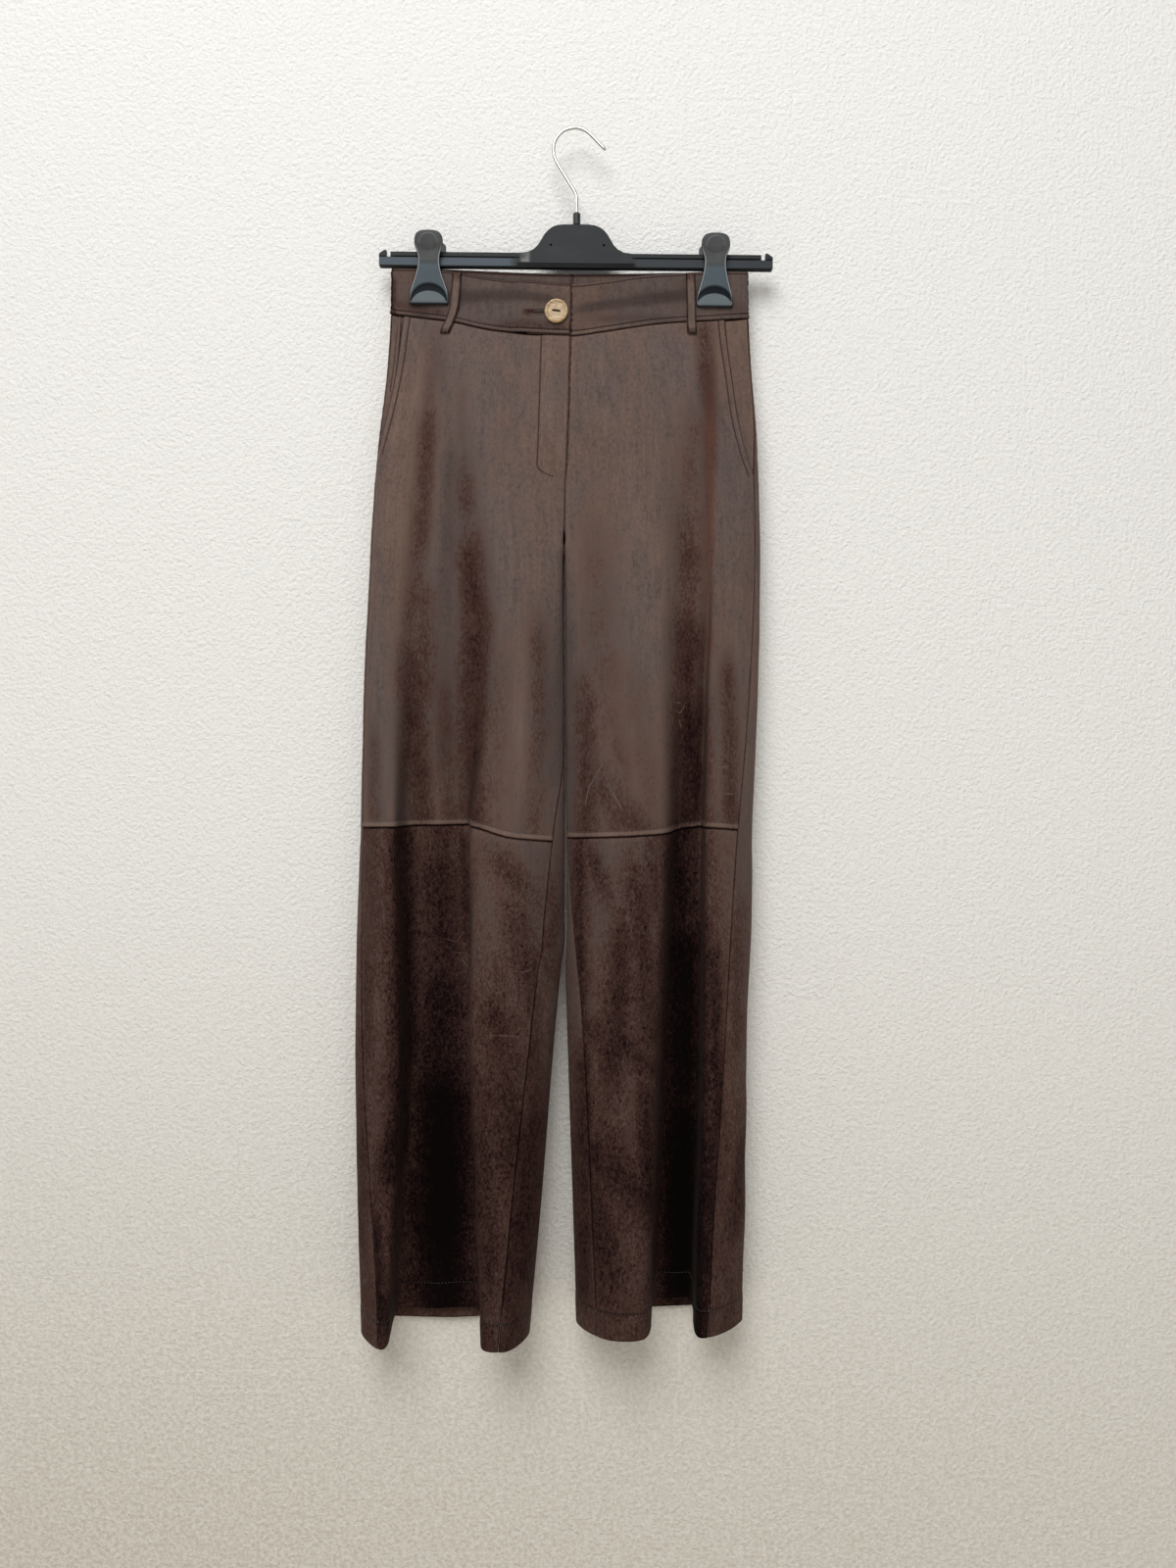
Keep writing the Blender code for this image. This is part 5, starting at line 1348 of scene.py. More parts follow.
def band_relief(panel, folds=()):
    """Heights of the band: rolled edges, two sewn lines, gathers, and folds pulled by the button."""
    top, foot = panel.from_top, panel.from_bottom
    lift = roll(top, 1.0 * MM, 1.8 * MM) + roll(foot, 1.1 * MM, 1.6 * MM)
    lift += groove(top - BAND_TOP_STITCH, 0.22 * MM)
    lift += groove(foot - BAND_FOOT_STITCH, 0.55 * MM, 0.9 * MM)
    lift += welt(foot, 3.0 * MM, 0.35 * MM) + roll(panel.from_start, 0.9 * MM, 1.8 * MM)
    lift += pucker(panel.x, foot - 5 * MM, 15, 0.22 * MM, 6 * MM, 6 * MM) * ease(foot, 4 * MM, 7 * MM)
    wave = cloudy(panel.x / (26 * MM) + 9, panel.z / (17 * MM) + 30, 83)
    lift += 0.45 * MM * wave * ease(np.minimum(top, foot), 3 * MM, 9 * MM)
    for fold in folds:
        x, z = panel.x / MM, panel.z / MM
        along = ease(x, fold.x_from - 8, fold.x_from + 8) * (1 - ease(x, fold.x_to - 8, fold.x_to + 8))
        lift += fold.height * MM * along * np.exp(-((z - fold.z) / fold.half_width) ** 2)
    return lift


band_sewing = rows_along(("top", BAND_TOP_STITCH), ("bottom", BAND_FOOT_STITCH))


def at_x(leg, x):
    """The mark on a leg's front that lies at x, as a function of height."""
    return lambda z: leg.station_at(np.full(np.shape(z), x), z)


def fixed(mark):
    return lambda z: np.full(np.shape(z), float(mark))


def band_panel(leg, start, end, top=band_top_front, seam=band_seam_front):
    return Panel(leg, start, end, side_by(top), side_by(seam), BAND_GUESS)


def joined(first, second):
    """Two panels of one piece as one grid; the second one lies on the other leg, mirrored."""
    whole = namedtuple("Joined", "leg face normal z x from_top from_bottom size")
    sides = [np.concatenate((getattr(first, part), getattr(second, part)[:, ::-1]), 1)
             for part in ("face", "normal", "z", "x", "from_top", "from_bottom")]
    return whole(first.leg, *sides, (first.size[0] + second.size[0], first.size[1]))


# %% [markdown]
# ## Belt loops
# A loop is a narrow folded strip with a row of stitches beside each edge. Its top is caught under
# the band's edge and its foot is folded under and sewn through the band's lower seam. Two show at
# the front under the clips. The three at the back are made the same way.

# %% Belt loops
LOOP_TOP_TO_FOOT = {
    "belt_loop_front_left": ((-114.4, -140.0), (-116.4, -172.0), (-125.8, -200.5)),
    "belt_loop_front_right": ((110.4, -140.6), (110.3, -172.0), (110.9, -201.0)),
}
BACK_LOOP = (-139.8, -199.8)
LOOP_STAND = 1.8 * MM
LOOP_STITCH = 1.5 * MM


def loop_lift(share):
    return BAND_CLOTH + SEAM_GAP + LOOP_STAND * np.sin(math.pi * share) ** 2


def front_at(x, z):
    """The skin and the way out of it at x across the front, on whichever leg lies there."""
    x, z = np.broadcast_arrays(np.asarray(x, float), np.asarray(z, float))
    on_right = (x > LEFT.inner_edge(z))[..., None]
    skins, ways = [], []
    for leg in LEGS:
        mark = np.minimum(leg.station_at(x, z), INNER - 0.02)
        skins.append(leg.skin(mark, z))
        ways.append(leg.outward(mark, z))
    return np.where(on_right, skins[1], skins[0]), np.where(on_right, ways[1], ways[0])


def loop_face(skin, out, share, across):
    """A strip's outer face: flat, rounded at both edges, doubled and pressed at its folded foot."""
    edge = 0.5 * LOOP_WIDTH - np.abs(across)
    height = loop_lift(share) + LOOP_CLOTH + roll(edge, 0.8 * MM, 1.0 * MM)
    height = height + groove(edge - LOOP_STITCH, 0.16 * MM, 0.6 * MM)
    height = height + 0.8 * MM * ease(share, 0.86, 0.90)
    height = height + roll((1 - share) * LOOP_LENGTH, 1.3 * MM, 1.4 * MM)
    return skin + out * height[..., None]


def loop_grid():
    share = np.concatenate((np.linspace(0, 0.84, 26), np.linspace(0.86, 1.0, 12)))[:, None]
    across = 0.5 * LOOP_WIDTH * np.sin(np.linspace(-0.5, 0.5, 15) * math.pi)[None]
    return np.broadcast_arrays(share, across)


def make_loop(name, skin, out, share, across):
    face = loop_face(skin, out, share, across)
    # Painted shade along the loop's rounded edges and at its tucked ends, and a painted highlight down its
    # middle.
    beside = ease(np.abs(across) / LOOP_WIDTH, 0.28, 0.46)
    ends = 0.35 * (1 - ease(share, 0.0, 0.25)) + 0.35 * ease(share, 0.90, 0.97)
    paints = {"dark": ends + 0.70 * beside, "rust": 0 * share, "light": 0.75 * (1 - beside)}
    made = sheet_mesh(name + "_cloth", face, SUEDE["band"], LOOP_CLOTH, paints)
    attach(made, "root")
    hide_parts(name)
    strip = np.concatenate((face, np.broadcast_to(out, face.shape)), -1)
    row_at = 0.5 * LOOP_WIDTH - LOOP_STITCH
    paths = [np.array([[np.interp(side, a, layer) for layer in row.T] for a, row in zip(across, strip)])
             for side in (-row_at, row_at)]
    return [made, stitches(name + "_stitches", paths, 2.9 * MM, 2.1 * MM, 0.26 * MM)]


def make_front_loop(name):
    share, across = loop_grid()
    top, bend, foot = LOOP_TOP_TO_FOOT[name]
    middle = curve([(-z * MM, x * MM) for x, z in (top, bend, foot)])
    z = (top[1] + (foot[1] - top[1]) * share) * MM
    skin, out = front_at(middle(-z) + across, z)
    return make_loop(name, skin, out, share, across)


def make_back_loop(name, leg, mark):
    """A back loop stands at a mark; the middle one hides the centre seam."""
    share, across = loop_grid()
    z = (BACK_LOOP[0] + (BACK_LOOP[1] - BACK_LOOP[0]) * share) * MM
    spot = leg.skin(np.full(z.shape, float(mark)), z)
    x = (leg.inner_edge(z) if mark == BACK_IN else spot[..., 0]) - across
    return make_loop(name, np.stack((x, spot[..., 1], z), -1), np.array((0.0, 1.0, 0.0)), share, across)


loops = {
    "front_left": make_front_loop("belt_loop_front_left"),
    "front_right": make_front_loop("belt_loop_front_right"),
    "back_left": make_back_loop("belt_loop_back_left", LEFT, BACK_MID)
    + make_back_loop("belt_loop_back_middle", LEFT, BACK_IN),
    "back_right": make_back_loop("belt_loop_back_right", RIGHT, BACK_MID),
}
print("belt loops:", sum(len(pieces) for pieces in loops.values()) // 2)

# %% Make the waistband
# Dark rows on the band fronts: painted shade in the folds pulled by the button and in the buttonhole slit,
# with other darker patches.
DARK["waistband_front_left"] = rows(
    (-118, -162, -62, -166, 7, 0.10), (-62, -167, -30, -172, 5, 0.14),
    (-172, -170, -140, -176, 6, 0.30), (-60, -196, -20, -200, 6, 0.35),
    (-176, -150, -176, -178, 3, 0.5), (-44, -185, -20, -185, 2, 0.9),
)
DARK["waistband_front_right"] = rows(
    (18, -178, 60, -170, 5, 0.14), (60, -170, 104, -162, 6, 0.16), (20, -190, 70, -188, 6, 0.16),
    (120, -160, 150, -172, 8, 0.25),
)
# Painted highlights: a thin line along the band's pressed lower edge, and a patch over a fold's ridge.
LIGHT["waistband_front_left"] = rows(
    (-176, -181, -60, -205, 1.6, 0.6), (-60, -205, -6, -207, 1.6, 0.6), (-100, -152, -50, -162, 5, 0.2),
)
LIGHT["waistband_front_right"] = rows(
    (0, -206, 60, -196, 1.6, 0.6), (60, -196, 165, -184, 1.6, 0.6),
)

buttonholed = band_panel(LEFT, fixed(0.0), at_x(LEFT, OVERLAP_END))
lift = band_relief(buttonholed, BAND_FOLDS) + overlap_lift(buttonholed.x) + roll(buttonholed.from_end)
finish_panel("waistband_front_left", buttonholed, lift, SUEDE["band"], BAND_CLOTH, band_sewing,
             extras=loops["front_left"])

visible = band_panel(RIGHT, fixed(0.0), fixed(INNER))
hidden = band_panel(LEFT, at_x(LEFT, UNDERLAP_END), fixed(INNER))
for part, folds in ((visible, BAND_FOLDS), (hidden, ())):
    part.face = part.points + part.normal * (BAND_CLOTH + band_relief(part, folds))[..., None]
under = joined(visible, hidden)
under_paints = paints_of("waistband_front_right", under.x, under.z)
under_paints["row"] = row_paint(*band_sewing(under)[1])
made = sheet_mesh("waistband_front_right_cloth", under.face, SUEDE["band"], BAND_CLOTH,
                  under_paints, True)
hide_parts("waistband_front_right")
sewn(made, under.face, under.size,
     [stitches("waistband_front_right_stitches", band_sewing(visible)[0])] + loops["front_right"])

for leg in LEGS:
    name = f"waistband_back_{leg.side}"
    panel = band_panel(leg, fixed(BACK_IN), fixed(MARKS), band_top_back, band_seam_back)
    finish_panel(name, panel, band_relief(panel) + roll(panel.from_end), SUEDE["band"], BAND_CLOTH,
                 band_sewing,
                 extras=loops[f"back_{leg.side}"])


# %% [markdown]
# ## Zip and fly shield
# The closed zip is sewn between the fly and a shield of the same cloth. Both hide behind the left
# front's edge and show only from inside the waist. The zip is a woven tape with a row of teeth.

# %% Zip and shield
ZIP_TAPE = 0.8 * MM
TAPE_DARK, TAPE_PALE = (0.020, 0.014, 0.011), (0.052, 0.038, 0.030)
FLY_TOP = -213 * MM
SHIELD_FLAT = (37 * MM, 132 * MM)
Tape = namedtuple("Tape", "face normal from_start from_end")


def front_strip(left_of, right_of, foot, lift):
    """A strip on the front between two distances from the centre line."""
    z = np.linspace(FLY_TOP, foot, 60)[:, None]
    reach = np.linspace(-left_of, right_of, 16)[None]
    skin, out = front_at(LEFT.inner_edge(z) + reach, z)
    return Tape(skin + out * lift, out, reach + left_of + 0 * z, right_of - reach + 0 * z)


def zip_finish():
    tape = Finish("zip_tape_weave", Roughness=0.85)
    weave = tape.noise(1500.0, 2.0, 0.5, (1.0, 1.0, 0.25))
    tape.feed(Base_Color=tape.blend(weave.ramp(0.35, 0.65), TAPE_DARK, TAPE_PALE))
    tape.bump(weave, 0.2 * MM, 0.6)
    return tape.material


shield = front_strip(28 * MM, 9 * MM, -345 * MM, -(2 * SEAM_GAP + ZIP_TAPE))
unpainted = {paint_name: np.zeros(shield.face.shape[:2]) for paint_name in ("dark", "rust", "light")}
made = sheet_mesh("fly_shield_cloth", shield.face, SUEDE["back"], CLOTH, unpainted)
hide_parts("fly_shield")
sewn(made, shield.face, SHIELD_FLAT,
     [stitches("fly_shield_stitches", [seam_line(shield, "start", 2.5 * MM)])])

tape = front_strip(16 * MM, 8 * MM, -338 * MM, -SEAM_GAP)
made = sheet_mesh("zip_cloth", tape.face, zip_finish(), ZIP_TAPE, unpainted)
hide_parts("zip")
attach(made, "root")
teeth = stitches("zip_teeth", [seam_line(tape, "start", 15 * MM), seam_line(tape, "start", 17 * MM)],
                 1.6 * MM, 1.0 * MM, 0.45 * MM)

# %% [markdown]
# ## Button
# A disc turned from pale wood, with a raised rim, a shallow dished face and one slot. It is made as
# a round grid whose height follows the turned profile, so the rim and the slot are real relief. It
# is sewn to the under band, and its buttonhole is a slit, drawn as a thin line of painted shade, with
# close stitches round it.

# %% Button
BUTTON_ACROSS, BUTTON_HIGH = 22.4 * MM, 24.0 * MM
BUTTON_AT = (-18.0 * MM, -186.0 * MM)
BUTTONHOLE_ENDS = (-39.5 * MM, -18.0 * MM)
SLOT_HALF = (3.9 * MM, 0.95 * MM)
SLOT_DEPTH, SLOT_TILT = 2.2 * MM, -8.0
BUTTON_PROFILE = ((0.0, 2.75), (0.60, 2.85), (0.74, 3.05), (0.80, 3.55), (0.88, 3.6), (0.95, 3.2),
                  (1.0, 2.2))
WOOD_PALE, WOOD_GRAIN = (0.455, 0.315, 0.150), (0.240, 0.145, 0.058)
WOOD_PORE, WOOD_THREAD_AND_SHADE = (0.20, 0.115, 0.055), (0.012, 0.006, 0.003)


def wood():
    finish = Finish("button_wood_turned", Roughness=0.48, Coat_Weight=0.12, Coat_Roughness=0.35)
    grain = finish.noise(210.0, 4.0, 0.6, (0.45, 1.0, 1.0), (0.3, 0.1, 0.2), 1.6)
    pores = finish.noise(1300.0, 3.0, 0.6, (0.12, 1.0, 1.0))
    pale = finish.blend(grain.ramp(0.36, 0.66), WOOD_PALE, WOOD_GRAIN)
    pale = finish.blend(pores.ramp(0.60, 0.72) * 0.55, pale, WOOD_PORE)
    # The 'worn' paint is the dark thread in the slot, with painted shade in the slot, at the rim's foot and
    # down the button's side.
    finish.feed(Base_Color=finish.blend(finish.painted("worn"), pale, WOOD_THREAD_AND_SHADE))
    finish.bump(grain * 0.4 + pores * 0.6, 0.2 * MM, 0.35)
    return finish.material


def facing(spot, out):
    """A frame at spot whose -Y points out of the cloth."""
    back = -Vector(out).normalized()
    right = back.cross(Vector((0, 0, 1))).normalized()
    turned = Matrix((right, back, right.cross(back))).transposed().to_4x4()
    turned.translation = Vector(spot)
    return turned


def make_button():
    """A round grid that follows the turned profile, with the slot sunk into its face."""
    skin, out = (v[0] for v in front_at([BUTTON_AT[0]], BUTTON_AT[1]))
    share = np.concatenate((np.linspace(0.01, 0.36, 26), np.linspace(0.38, 0.72, 12),
                            np.linspace(0.74, 1, 20)))
    angle = np.linspace(0, 2 * math.pi, 120, endpoint=False)
    x = 0.5 * BUTTON_ACROSS * share[:, None] * np.cos(angle)
    z = 0.5 * BUTTON_HIGH * share[:, None] * np.sin(angle)
    tilt = math.radians(SLOT_TILT)
    along = x * math.cos(tilt) + z * math.sin(tilt)
    beside = z * math.cos(tilt) - x * math.sin(tilt)
    into = np.maximum(np.abs(along) - SLOT_HALF[0] + SLOT_HALF[1], 0)
    into = np.hypot(into, beside) - SLOT_HALF[1]
    slot = 1 - ease(into, -0.22 * MM, 0.22 * MM)
    height = curve(BUTTON_PROFILE)(share)[:, None] * MM - SLOT_DEPTH * slot
    rings = np.stack((x, -height, z), -1)
    foot = np.stack((x[-1:] * 0.97, 0 * x[-1:] - 0.3 * MM, z[-1:] * 0.97), -1)
    rings = np.concatenate((rings, foot, foot * np.array((0.05, 0.0, 0.05))))
    count = len(angle)
    a = np.arange(count)
    ring = np.arange(len(rings) - 1)[:, None] * count
    b = (a + 1) % count
    walls = np.stack((ring + a, ring + count + a, ring + count + b, ring + b), -1)
    faces = walls.reshape(-1, 4).tolist() + [a.tolist()]
    made = riding("button_turned", rings.reshape(-1, 3).tolist(), faces, wood())
    # Painted dark: the slot, thread lying in painted shade, a faint ring of painted shade at the rim's foot,
    # and painted shade down the side towards the cloth.
    inner = 1.0 * slot + 0.14 * np.exp(-((share[:, None] - 0.775) / 0.03) ** 2) + 0 * x
    paint_points(made.data, "worn", np.concatenate((inner.ravel(), np.full(2 * count, 0.7))))
    made.matrix_world = facing(skin + out * (OVERLAP_LIFT + BAND_CLOTH + SEAM_GAP), out)
    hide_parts("button")


make_button()

# %% Buttonhole
SLIT_X = np.linspace(BUTTONHOLE_ENDS[0] + 0.5 * MM, BUTTONHOLE_ENDS[1] - 3 * MM, 26)
STITCH_REACH = np.array((0.5, 2.4)) * MM
sewn_round = []
for side in (-1, 1):
    for x in SLIT_X:
        spots, out = front_at(np.full(2, x), STITCH_REACH * side + BUTTON_AT[1])
        spots = spots + out * (OVERLAP_LIFT + BAND_CLOTH + 0.1 * MM)
        sewn_round.append(np.concatenate((spots, out), -1))
stitches("buttonhole_stitches", sewn_round, 1.9 * MM, 2.0 * MM, 0.34 * MM)

# %% [markdown]
# ## Clips
# Each clip has two sprung plastic levers on a slider that straddles the bar. A lever is one
# moulding: a thumb pad with a raised oval, a waist, and a wide foot with raised rims, a sunk scoop
# and a rounded lip that grips the cloth. It is lofted from a short table, and its face's relief
# is added. The same relief tells the finish which place is which, and where to paint highlights on
# the rims and shade in the scoop and round the foot.

# %% Where the hanger hangs
BAR_DROP, BAR_TILT = 127.9 * MM, 0.57
HANGER_PLACE = Matrix.Translation((0, 0, -BAR_DROP)) @ Matrix.Rotation(math.radians(BAR_TILT), 4, "Y")
CLIP_AT = {"left": -141.2 * MM, "right": 134.0 * MM}
JawRow = namedtuple("JawRow", "rise half_width ahead thickness")
JAW = table_of(
    JawRow,
    (22.9, 9.0, 13.2, 2.2), (21.8, 12.2, 13.0, 3.6), (18.3, 14.0, 12.4, 4.0),
    (11.6, 14.2, 10.8, 4.2), (5.0, 12.6, 8.4, 4.6), (-3.0, 11.2, 7.6, 4.6),
    (-11.0, 11.6, 7.2, 4.2), (-20.0, 13.8, 6.2, 4.0), (-29.0, 16.4, 5.2, 3.8),
    (-37.0, 18.2, 4.7, 3.6), (-41.5, 18.4, 4.6, 3.4), (-44.0, 17.0, 4.5, 2.6),
)
THUMB_AT, THUMB_ACROSS, THUMB_HIGH = 12.8 * MM, 8.6 * MM, 7.2 * MM
LEVER_HALF = curve((
    (22.9, 4.6), (22.4, 7.4), (21.8, 9.2), (20.7, 11.0), (19.1, 12.3), (16.4, 13.4), (12.0, 13.8),
    (8.8, 13.2), (5.0, 11.8), (0.0, 10.5), (-3.0, 10.3), (-7.6, 10.6), (-17.4, 12.8),
    (-24.0, 15.2), (-34.8, 18.6), (-41.0, 19.2), (-43.0, 18.6), (-44.0, 17.4),
))
FOOT_SHARE = {"left": 1.0, "right": 0.92}
THUMB_GREY, SUNK_BLUE, LIP_GREY = (0.066, 0.068, 0.069), (0.068, 0.088, 0.103), (0.108, 0.128, 0.138)
LEVER_DUST, RIM_HIGHLIGHT, SCOOP_SHADE = (0.115, 0.122, 0.128), (0.36, 0.38, 0.40), (0.0025, 0.0045, 0.0080)


def plastic(name, colour, rough, gloss=0.3):
    """Dark moulded plastic: a faint grain, and dust that greys it."""
    finish = Finish(name, Specular_IOR_Level=gloss)
    grit = finish.noise(900.0, 3.0, 0.6)
    dust = finish.noise(60.0, 4.0, 0.6)
    pale = tuple(1.5 * c + 0.008 for c in colour)
    finish.feed(Base_Color=finish.blend(dust.ramp(0.48, 0.80) * 0.55, colour, pale),
                Roughness=rough + dust * 0.22)
    finish.bump(grit, 0.12 * MM, 0.35)
    return finish.material


def lever_finish():
    """Grey at the thumb, blue grey on the sunk face and lip, a painted highlight on the rims and painted shade
    in the scoop.
    """
    finish = Finish("clip_plastic_dusty_painted_light", Specular_IOR_Level=0.10)
    dust = finish.noise(70.0, 4.0, 0.6)
    grit = finish.noise(900.0, 3.0, 0.6)
    tone = finish.blend(finish.painted("sunk"), THUMB_GREY, SUNK_BLUE)
    tone = finish.blend(finish.painted("lip"), tone, LIP_GREY)
    tone = finish.blend(dust.ramp(0.45, 0.8) * 0.35, tone, LEVER_DUST)
    tone = finish.blend(finish.painted("rim"), tone, RIM_HIGHLIGHT)
    tone = finish.blend(finish.painted("scoop"), tone, SCOOP_SHADE)
    finish.feed(Base_Color=tone, Roughness=0.34 + dust * 0.2)
    finish.bump(grit, 0.1 * MM, 0.3)
    return finish.material


LEVER_GREY = lever_finish()
SLIDER_BLACK = plastic("clip_slider_plastic", (0.022, 0.024, 0.026), 0.34)
BAR_BLACK = plastic("hanger_plastic_worn", (0.020, 0.022, 0.024), 0.30)


def arch(x, top, half_width, height):
    """An elliptic arch across a lever: how high it stands at x."""
    return top - height * (1 - np.sqrt(1 - np.clip(x / half_width, -1, 1) ** 2))


def jaw_relief(x, rise, half):
    """Relief of a lever's outer face, and how much of each place lies at every point."""
    edge = half - np.abs(x)
    thumb = np.hypot(x / THUMB_ACROSS, (rise - THUMB_AT) / THUMB_HIGH)
    lift = 0.45 * MM * (1 - ease(thumb, 0.92, 1.05))
    below = 1 - ease(rise, -8 * MM, -4 * MM)
    sunk = below * ease(edge, 1.1 * MM, 2.1 * MM)
    scoop_top = arch(x, -24.6 * MM, 16.8 * MM, 14.0 * MM)
    lip_top = arch(x, -31.8 * MM, 17.4 * MM, 13.0 * MM)
    lip = 1 - ease(rise, lip_top - 0.5 * MM, lip_top + 0.5 * MM)
    scoop = (1 - ease(rise, scoop_top - 1.2 * MM, scoop_top + 1.0 * MM)) * (1 - lip)
    scoop = scoop * ease(edge, 1 * MM, 2 * MM)
    lift += -0.55 * MM * sunk * (1 - lip) - 1.5 * MM * scoop
    # Painted highlight: a band on the raised rims and a faint ring round the thumb disc. Painted shade: the
    # foot's outline, painted with the scoop.
    rim = ease(edge, 0.3 * MM, 0.7 * MM) * (1 - ease(edge, 0.9 * MM, 1.5 * MM))
    rim = rim * ease(rise, -38 * MM, -30 * MM) * (1 - ease(rise, 6 * MM, 12 * MM))
    outline = 1 - ease(edge, 0.2 * MM, 0.7 * MM) * ease(rise, -43.6 * MM, -42.6 * MM)
    ring = np.exp(-((thumb - 1.0) / 0.07) ** 2) * (rise > THUMB_AT - 2 * MM)
    return lift, {"sunk": sunk, "lip": lip * ease(edge, 0.6 * MM, 1.4 * MM),
                  "scoop": np.maximum(scoop, 0.85 * outline), "rim": 0.9 * rim + 0.14 * ring}


def make_jaw(side, end, direction):
    """A lever as a loft: one ring for each height, with the relief on its outer face."""
    shape = {name: curve([(row.rise * MM, getattr(row, name) * MM) for row in JAW])
             for name in ("half_width", "ahead", "thickness")}
    rise = np.concatenate((np.linspace(22.9, 21.4, 12), np.linspace(21.0, -42.6, 110),
                           np.linspace(-43.0, -44.0, 5))) * MM
    half, ahead, thick = (shape[name](rise)[:, None] for name in ("half_width", "ahead", "thickness"))
    if side == "front":
        half = LEVER_HALF(rise / MM)[:, None] * MM
        half = half * (1 - (1 - FOOT_SHARE[end]) * (1 - ease(rise, -30 * MM, -8 * MM)))[:, None]
    spread = np.sin(np.linspace(-0.5, 0.5, 45) * math.pi) * 0.6 + np.linspace(-1, 1, 45) * 0.4
    x = half * spread
    bulge = 0.5 * thick * (1 - np.abs(spread) ** 5.7).clip(0) ** 0.3
    lift, places = jaw_relief(x, rise[:, None] + 0 * x, half)
    inside = ease(half - np.abs(x), 0.2 * MM, 1.4 * MM)
    front = np.stack((x, direction * (ahead + bulge + lift * inside), rise[:, None] + 0 * x), -1)
    back = np.stack((x, direction * (ahead - bulge), rise[:, None] + 0 * x), -1)[:, -2:0:-1]
    rings = np.concatenate((front, back), 1)
    made = tubes(f"clip_{end}_{side}_lever", rings[None], LEVER_GREY)
    for place, share in places.items():
        paint_points(made.data, place, np.concatenate((share, np.zeros(back.shape[:2])), 1))
    made.matrix_world = HANGER_PLACE @ Matrix.Translation((CLIP_AT[end], 0, 0))
    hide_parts(f"clip_{end}_{side}_jaw")


for end in CLIP_AT:
    make_jaw("front", end, -1)
    make_jaw("back", end, 1)

# %% [markdown]
# ## Hanger
# The bar and its shoulder are one moulding, and its solid is right already, so it keeps its mesh
# and gets softened edges and a dusty black finish, with a painted highlight, a painted gleam and
# painted shade in its groove and foot. The hook is bent steel wire, drawn again as a finer round
# tube in the same place.

# %% Bar, sliders and socket
def soften(name, width, finish, segments=2):
    """A carried-over solid keeps its mesh; its edges are rounded and it takes a finish."""
    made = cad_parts[name]
    made.modifiers.new("weld", "WELD").merge_threshold = 0.02 * MM
    rounded = made.modifiers.new("rounded", "BEVEL")
    rounded.width = width
    rounded.segments = segments
    rounded.limit_method = "ANGLE"
    rounded.harden_normals = True
    made.data.materials.clear()
    made.data.materials.append(finish)


BAR_FACE, BAR_DUST, BAR_STRIP_HIGHLIGHT = (0.027, 0.029, 0.031), (0.044, 0.047, 0.051), (0.070, 0.086, 0.104)
BAR_GLEAM, BAR_SHADE = (0.36, 0.36, 0.34), (0.0015, 0.0015, 0.002)


def bar_finish():
    """The hanger's dusty black: a painted highlight on its lower strip, stronger on the left, a painted gleam
    on the body's left, and painted shade in its foot and groove.
    """
    finish = Finish("hanger_bar_dusty_painted_light", Specular_IOR_Level=0.07)
    spot = finish.axis(0)
    rise = finish.axis(2) + spot * math.tan(math.radians(BAR_TILT)) + BAR_DROP
    dust = finish.noise(70.0, 4.0, 0.6, (0.4, 1.0, 1.0))
    strip = rise.ramp(-6.2 * MM, -5.4 * MM) * (1 - rise.ramp(1.2 * MM, 1.7 * MM))
    left = 1 - spot.ramp(-66 * MM, -58 * MM)
    body = spot.ramp(-60 * MM, -54 * MM) * (1 - spot.ramp(54 * MM, 60 * MM))
    groove = rise.ramp(1.5 * MM, 1.9 * MM) * (1 - rise.ramp(3.0 * MM, 3.4 * MM)) * (1 - body)
    foot = (1 - rise.ramp(-6.2 * MM, -5.6 * MM)) + body * (1 - rise.ramp(-2.7 * MM, -2.1 * MM))
    gleam = spot.ramp(-55 * MM, -51 * MM) * (1 - spot.ramp(-47 * MM, -43 * MM))
    gleam = gleam * rise.ramp(-3.0 * MM, 0.0)
    face = finish.blend(dust.ramp(0.45, 0.8) * 0.5, BAR_FACE, BAR_DUST)
    face = finish.blend(strip * (1 - body) * (0.25 + left * 0.75), face, BAR_STRIP_HIGHLIGHT)
    face = finish.blend(gleam * dust.ramp(0.25, 0.6) * 0.6, face, BAR_GLEAM)
    shade = foot.maths("MINIMUM", foot + groove, 1.0)
    finish.feed(Base_Color=finish.blend(shade, face, BAR_SHADE), Roughness=0.30 + dust * 0.2)
    finish.bump(finish.noise(900.0, 3.0, 0.6), 0.1 * MM, 0.3)
    return finish.material


soften("hanger_bar", 0.7 * MM, bar_finish())
soften("hook_socket", 0.8 * MM, BAR_BLACK, 3)
for end in CLIP_AT:
    soften(f"clip_{end}_saddle", 0.4 * MM, SLIDER_BLACK)

# Two small near-black dishes on the body: painted shade inside its moulded pinholes.
PIN_PROFILE = ((0.05, 0.05), (0.55, 0.05), (0.7, 0.20), (0.85, 0.24), (0.95, 0.0))
PIN_SCALE = (1.25, 1.0, 1.25)
PIN_X = {"left": -24.2 * MM, "right": 26.8 * MM}
PINHOLE_SHADE = plastic("hanger_pinhole_shade", (0.0015, 0.0015, 0.0015), 0.6, gloss=0.02)
turn = np.linspace(0, 2 * math.pi, 28, endpoint=False)
pin_rings = [[(r * math.cos(t), -h, r * math.sin(t)) for t in turn] for r, h in PIN_PROFILE]
pin_rings = np.array(pin_rings)[None] * MM * np.array(PIN_SCALE)
for pin_side, pin_x in PIN_X.items():
    pin = tubes(f"hanger_pin_{pin_side}", pin_rings, PINHOLE_SHADE)
    pin.matrix_world = HANGER_PLACE @ Matrix.Translation((pin_x, -3.0 * MM, 14.9 * MM))

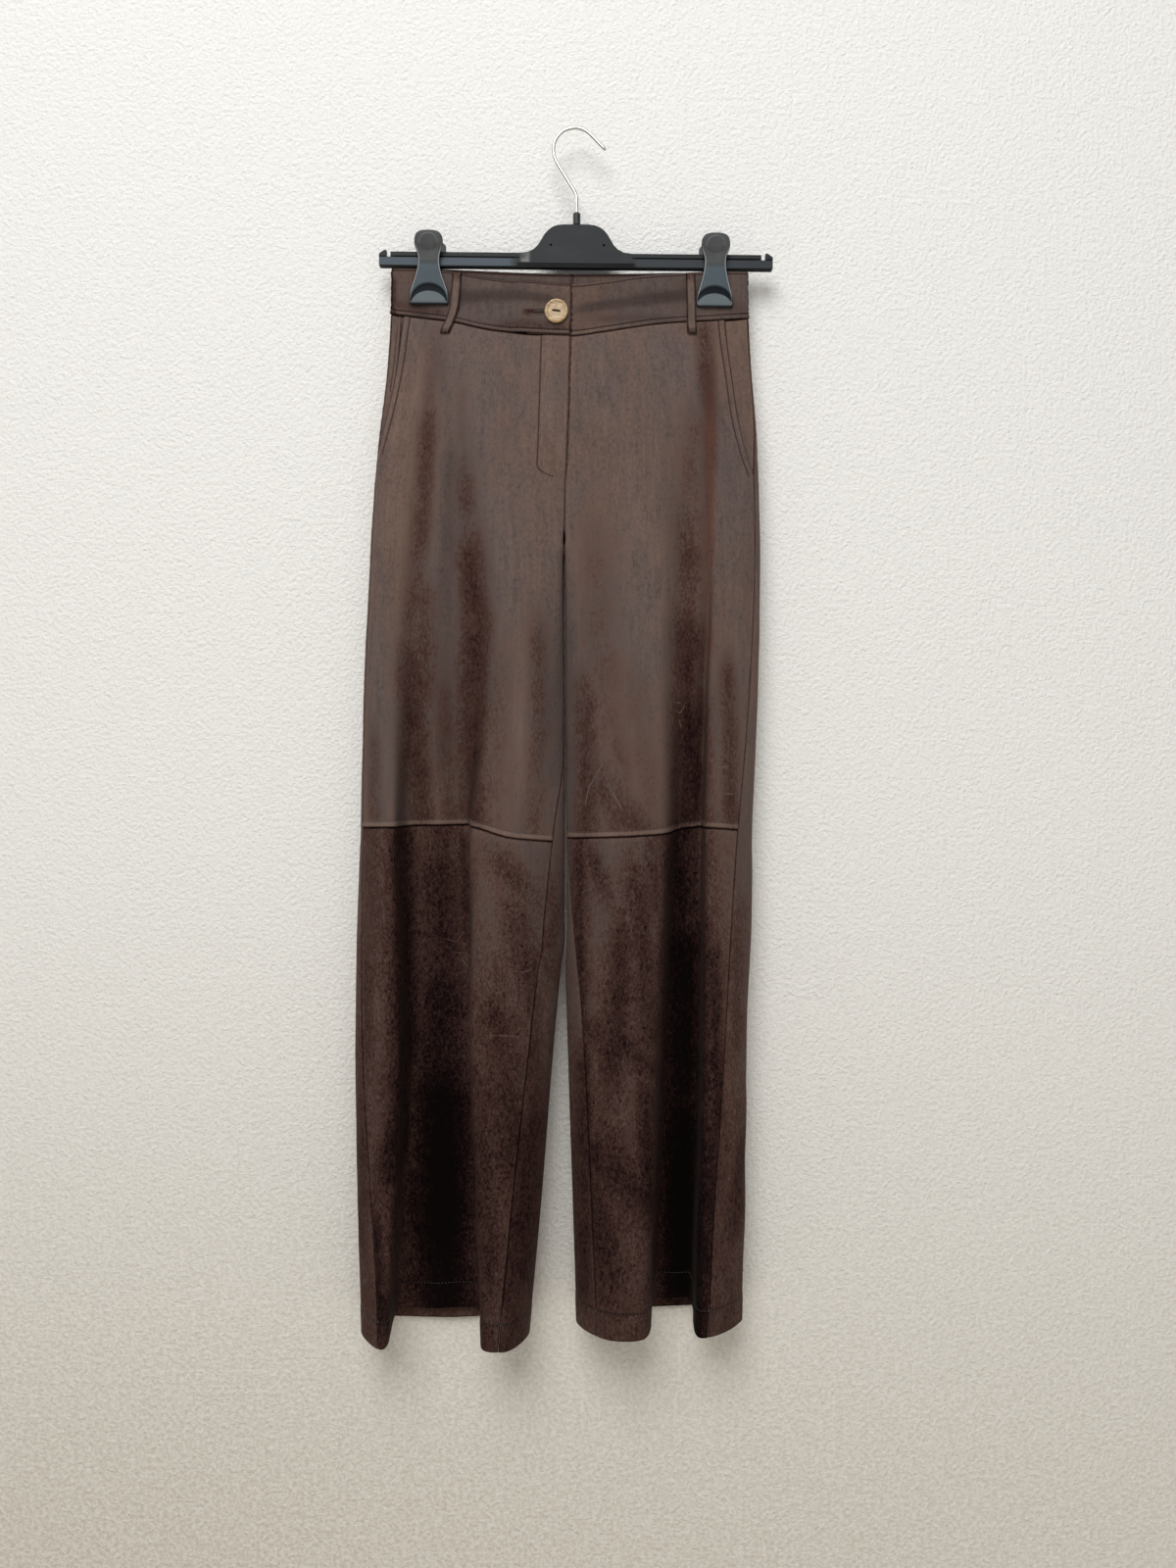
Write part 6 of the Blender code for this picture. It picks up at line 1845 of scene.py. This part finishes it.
# %% Hook
HOOK_ROUTE = (
    (0.8, -81.0), (0.8, -72.0), (0.6, -65.5), (-1.4, -60.0), (-6.0, -52.5), (-13.0, -41.0), (-19.0, -31.0),
    (-21.4, -23.5), (-21.3, -15.0), (-18.0, -7.6), (-11.4, -1.0), (-0.6, 1.7), (8.6, -0.7),
    (14.6, -5.3), (21.5, -12.4), (28.8, -20.0),
)
HOOK_WIRE = 3.4 * MM
HOOK_STEPS = 150
HOOK_TIP = (0.93, 0.75, 0.40)
STEEL_BRIGHT, STEEL_DULL = (0.60, 0.59, 0.57), (0.36, 0.34, 0.32)


def steel():
    finish = Finish("hook_steel_drawn", Metallic=1.0)
    draw = finish.noise(700.0, 3.0, 0.6, (1.0, 1.0, 0.15))
    tarnish = finish.noise(120.0, 3.0, 0.6)
    finish.feed(Base_Color=finish.blend(tarnish.ramp(0.5, 0.8) * 0.5, STEEL_BRIGHT, STEEL_DULL),
                Roughness=0.20 + draw * 0.18)
    finish.bump(draw, 0.05 * MM, 0.3)
    return finish.material


def through(points, count):
    """A smooth line through points, as even steps between them."""
    spots = np.array(points, float)
    spots = np.concatenate((2 * spots[:1] - spots[1:2], spots, 2 * spots[-1:] - spots[-2:-1]))
    t = np.linspace(0, len(points) - 1.0001, count)
    i = t.astype(int)
    t = (t - i)[:, None]
    a, b, c, d = (spots[i + k] for k in range(4))
    bent = (2 * a - 5 * b + 4 * c - d) * t ** 2 + (3 * b - a - 3 * c + d) * t ** 3
    return 0.5 * (2 * b + (c - a) * t + bent)


line = through(HOOK_ROUTE, HOOK_STEPS) * MM
middle = np.stack((line[:, 0], 0 * line[:, 0], line[:, 1]), 1)
sideways = np.broadcast_to((0.0, 1.0, 0.0), middle.shape)
rim = rims(unit(np.gradient(middle, axis=0)), sideways, 18)
radius = 0.5 * HOOK_WIRE * np.concatenate((np.ones(HOOK_STEPS - len(HOOK_TIP)), HOOK_TIP))
hook_rings = middle[:, None] + rim * radius[:, None, None]
hook = tubes("hook_wire_bent", hook_rings[None], steel())
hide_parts("hook")
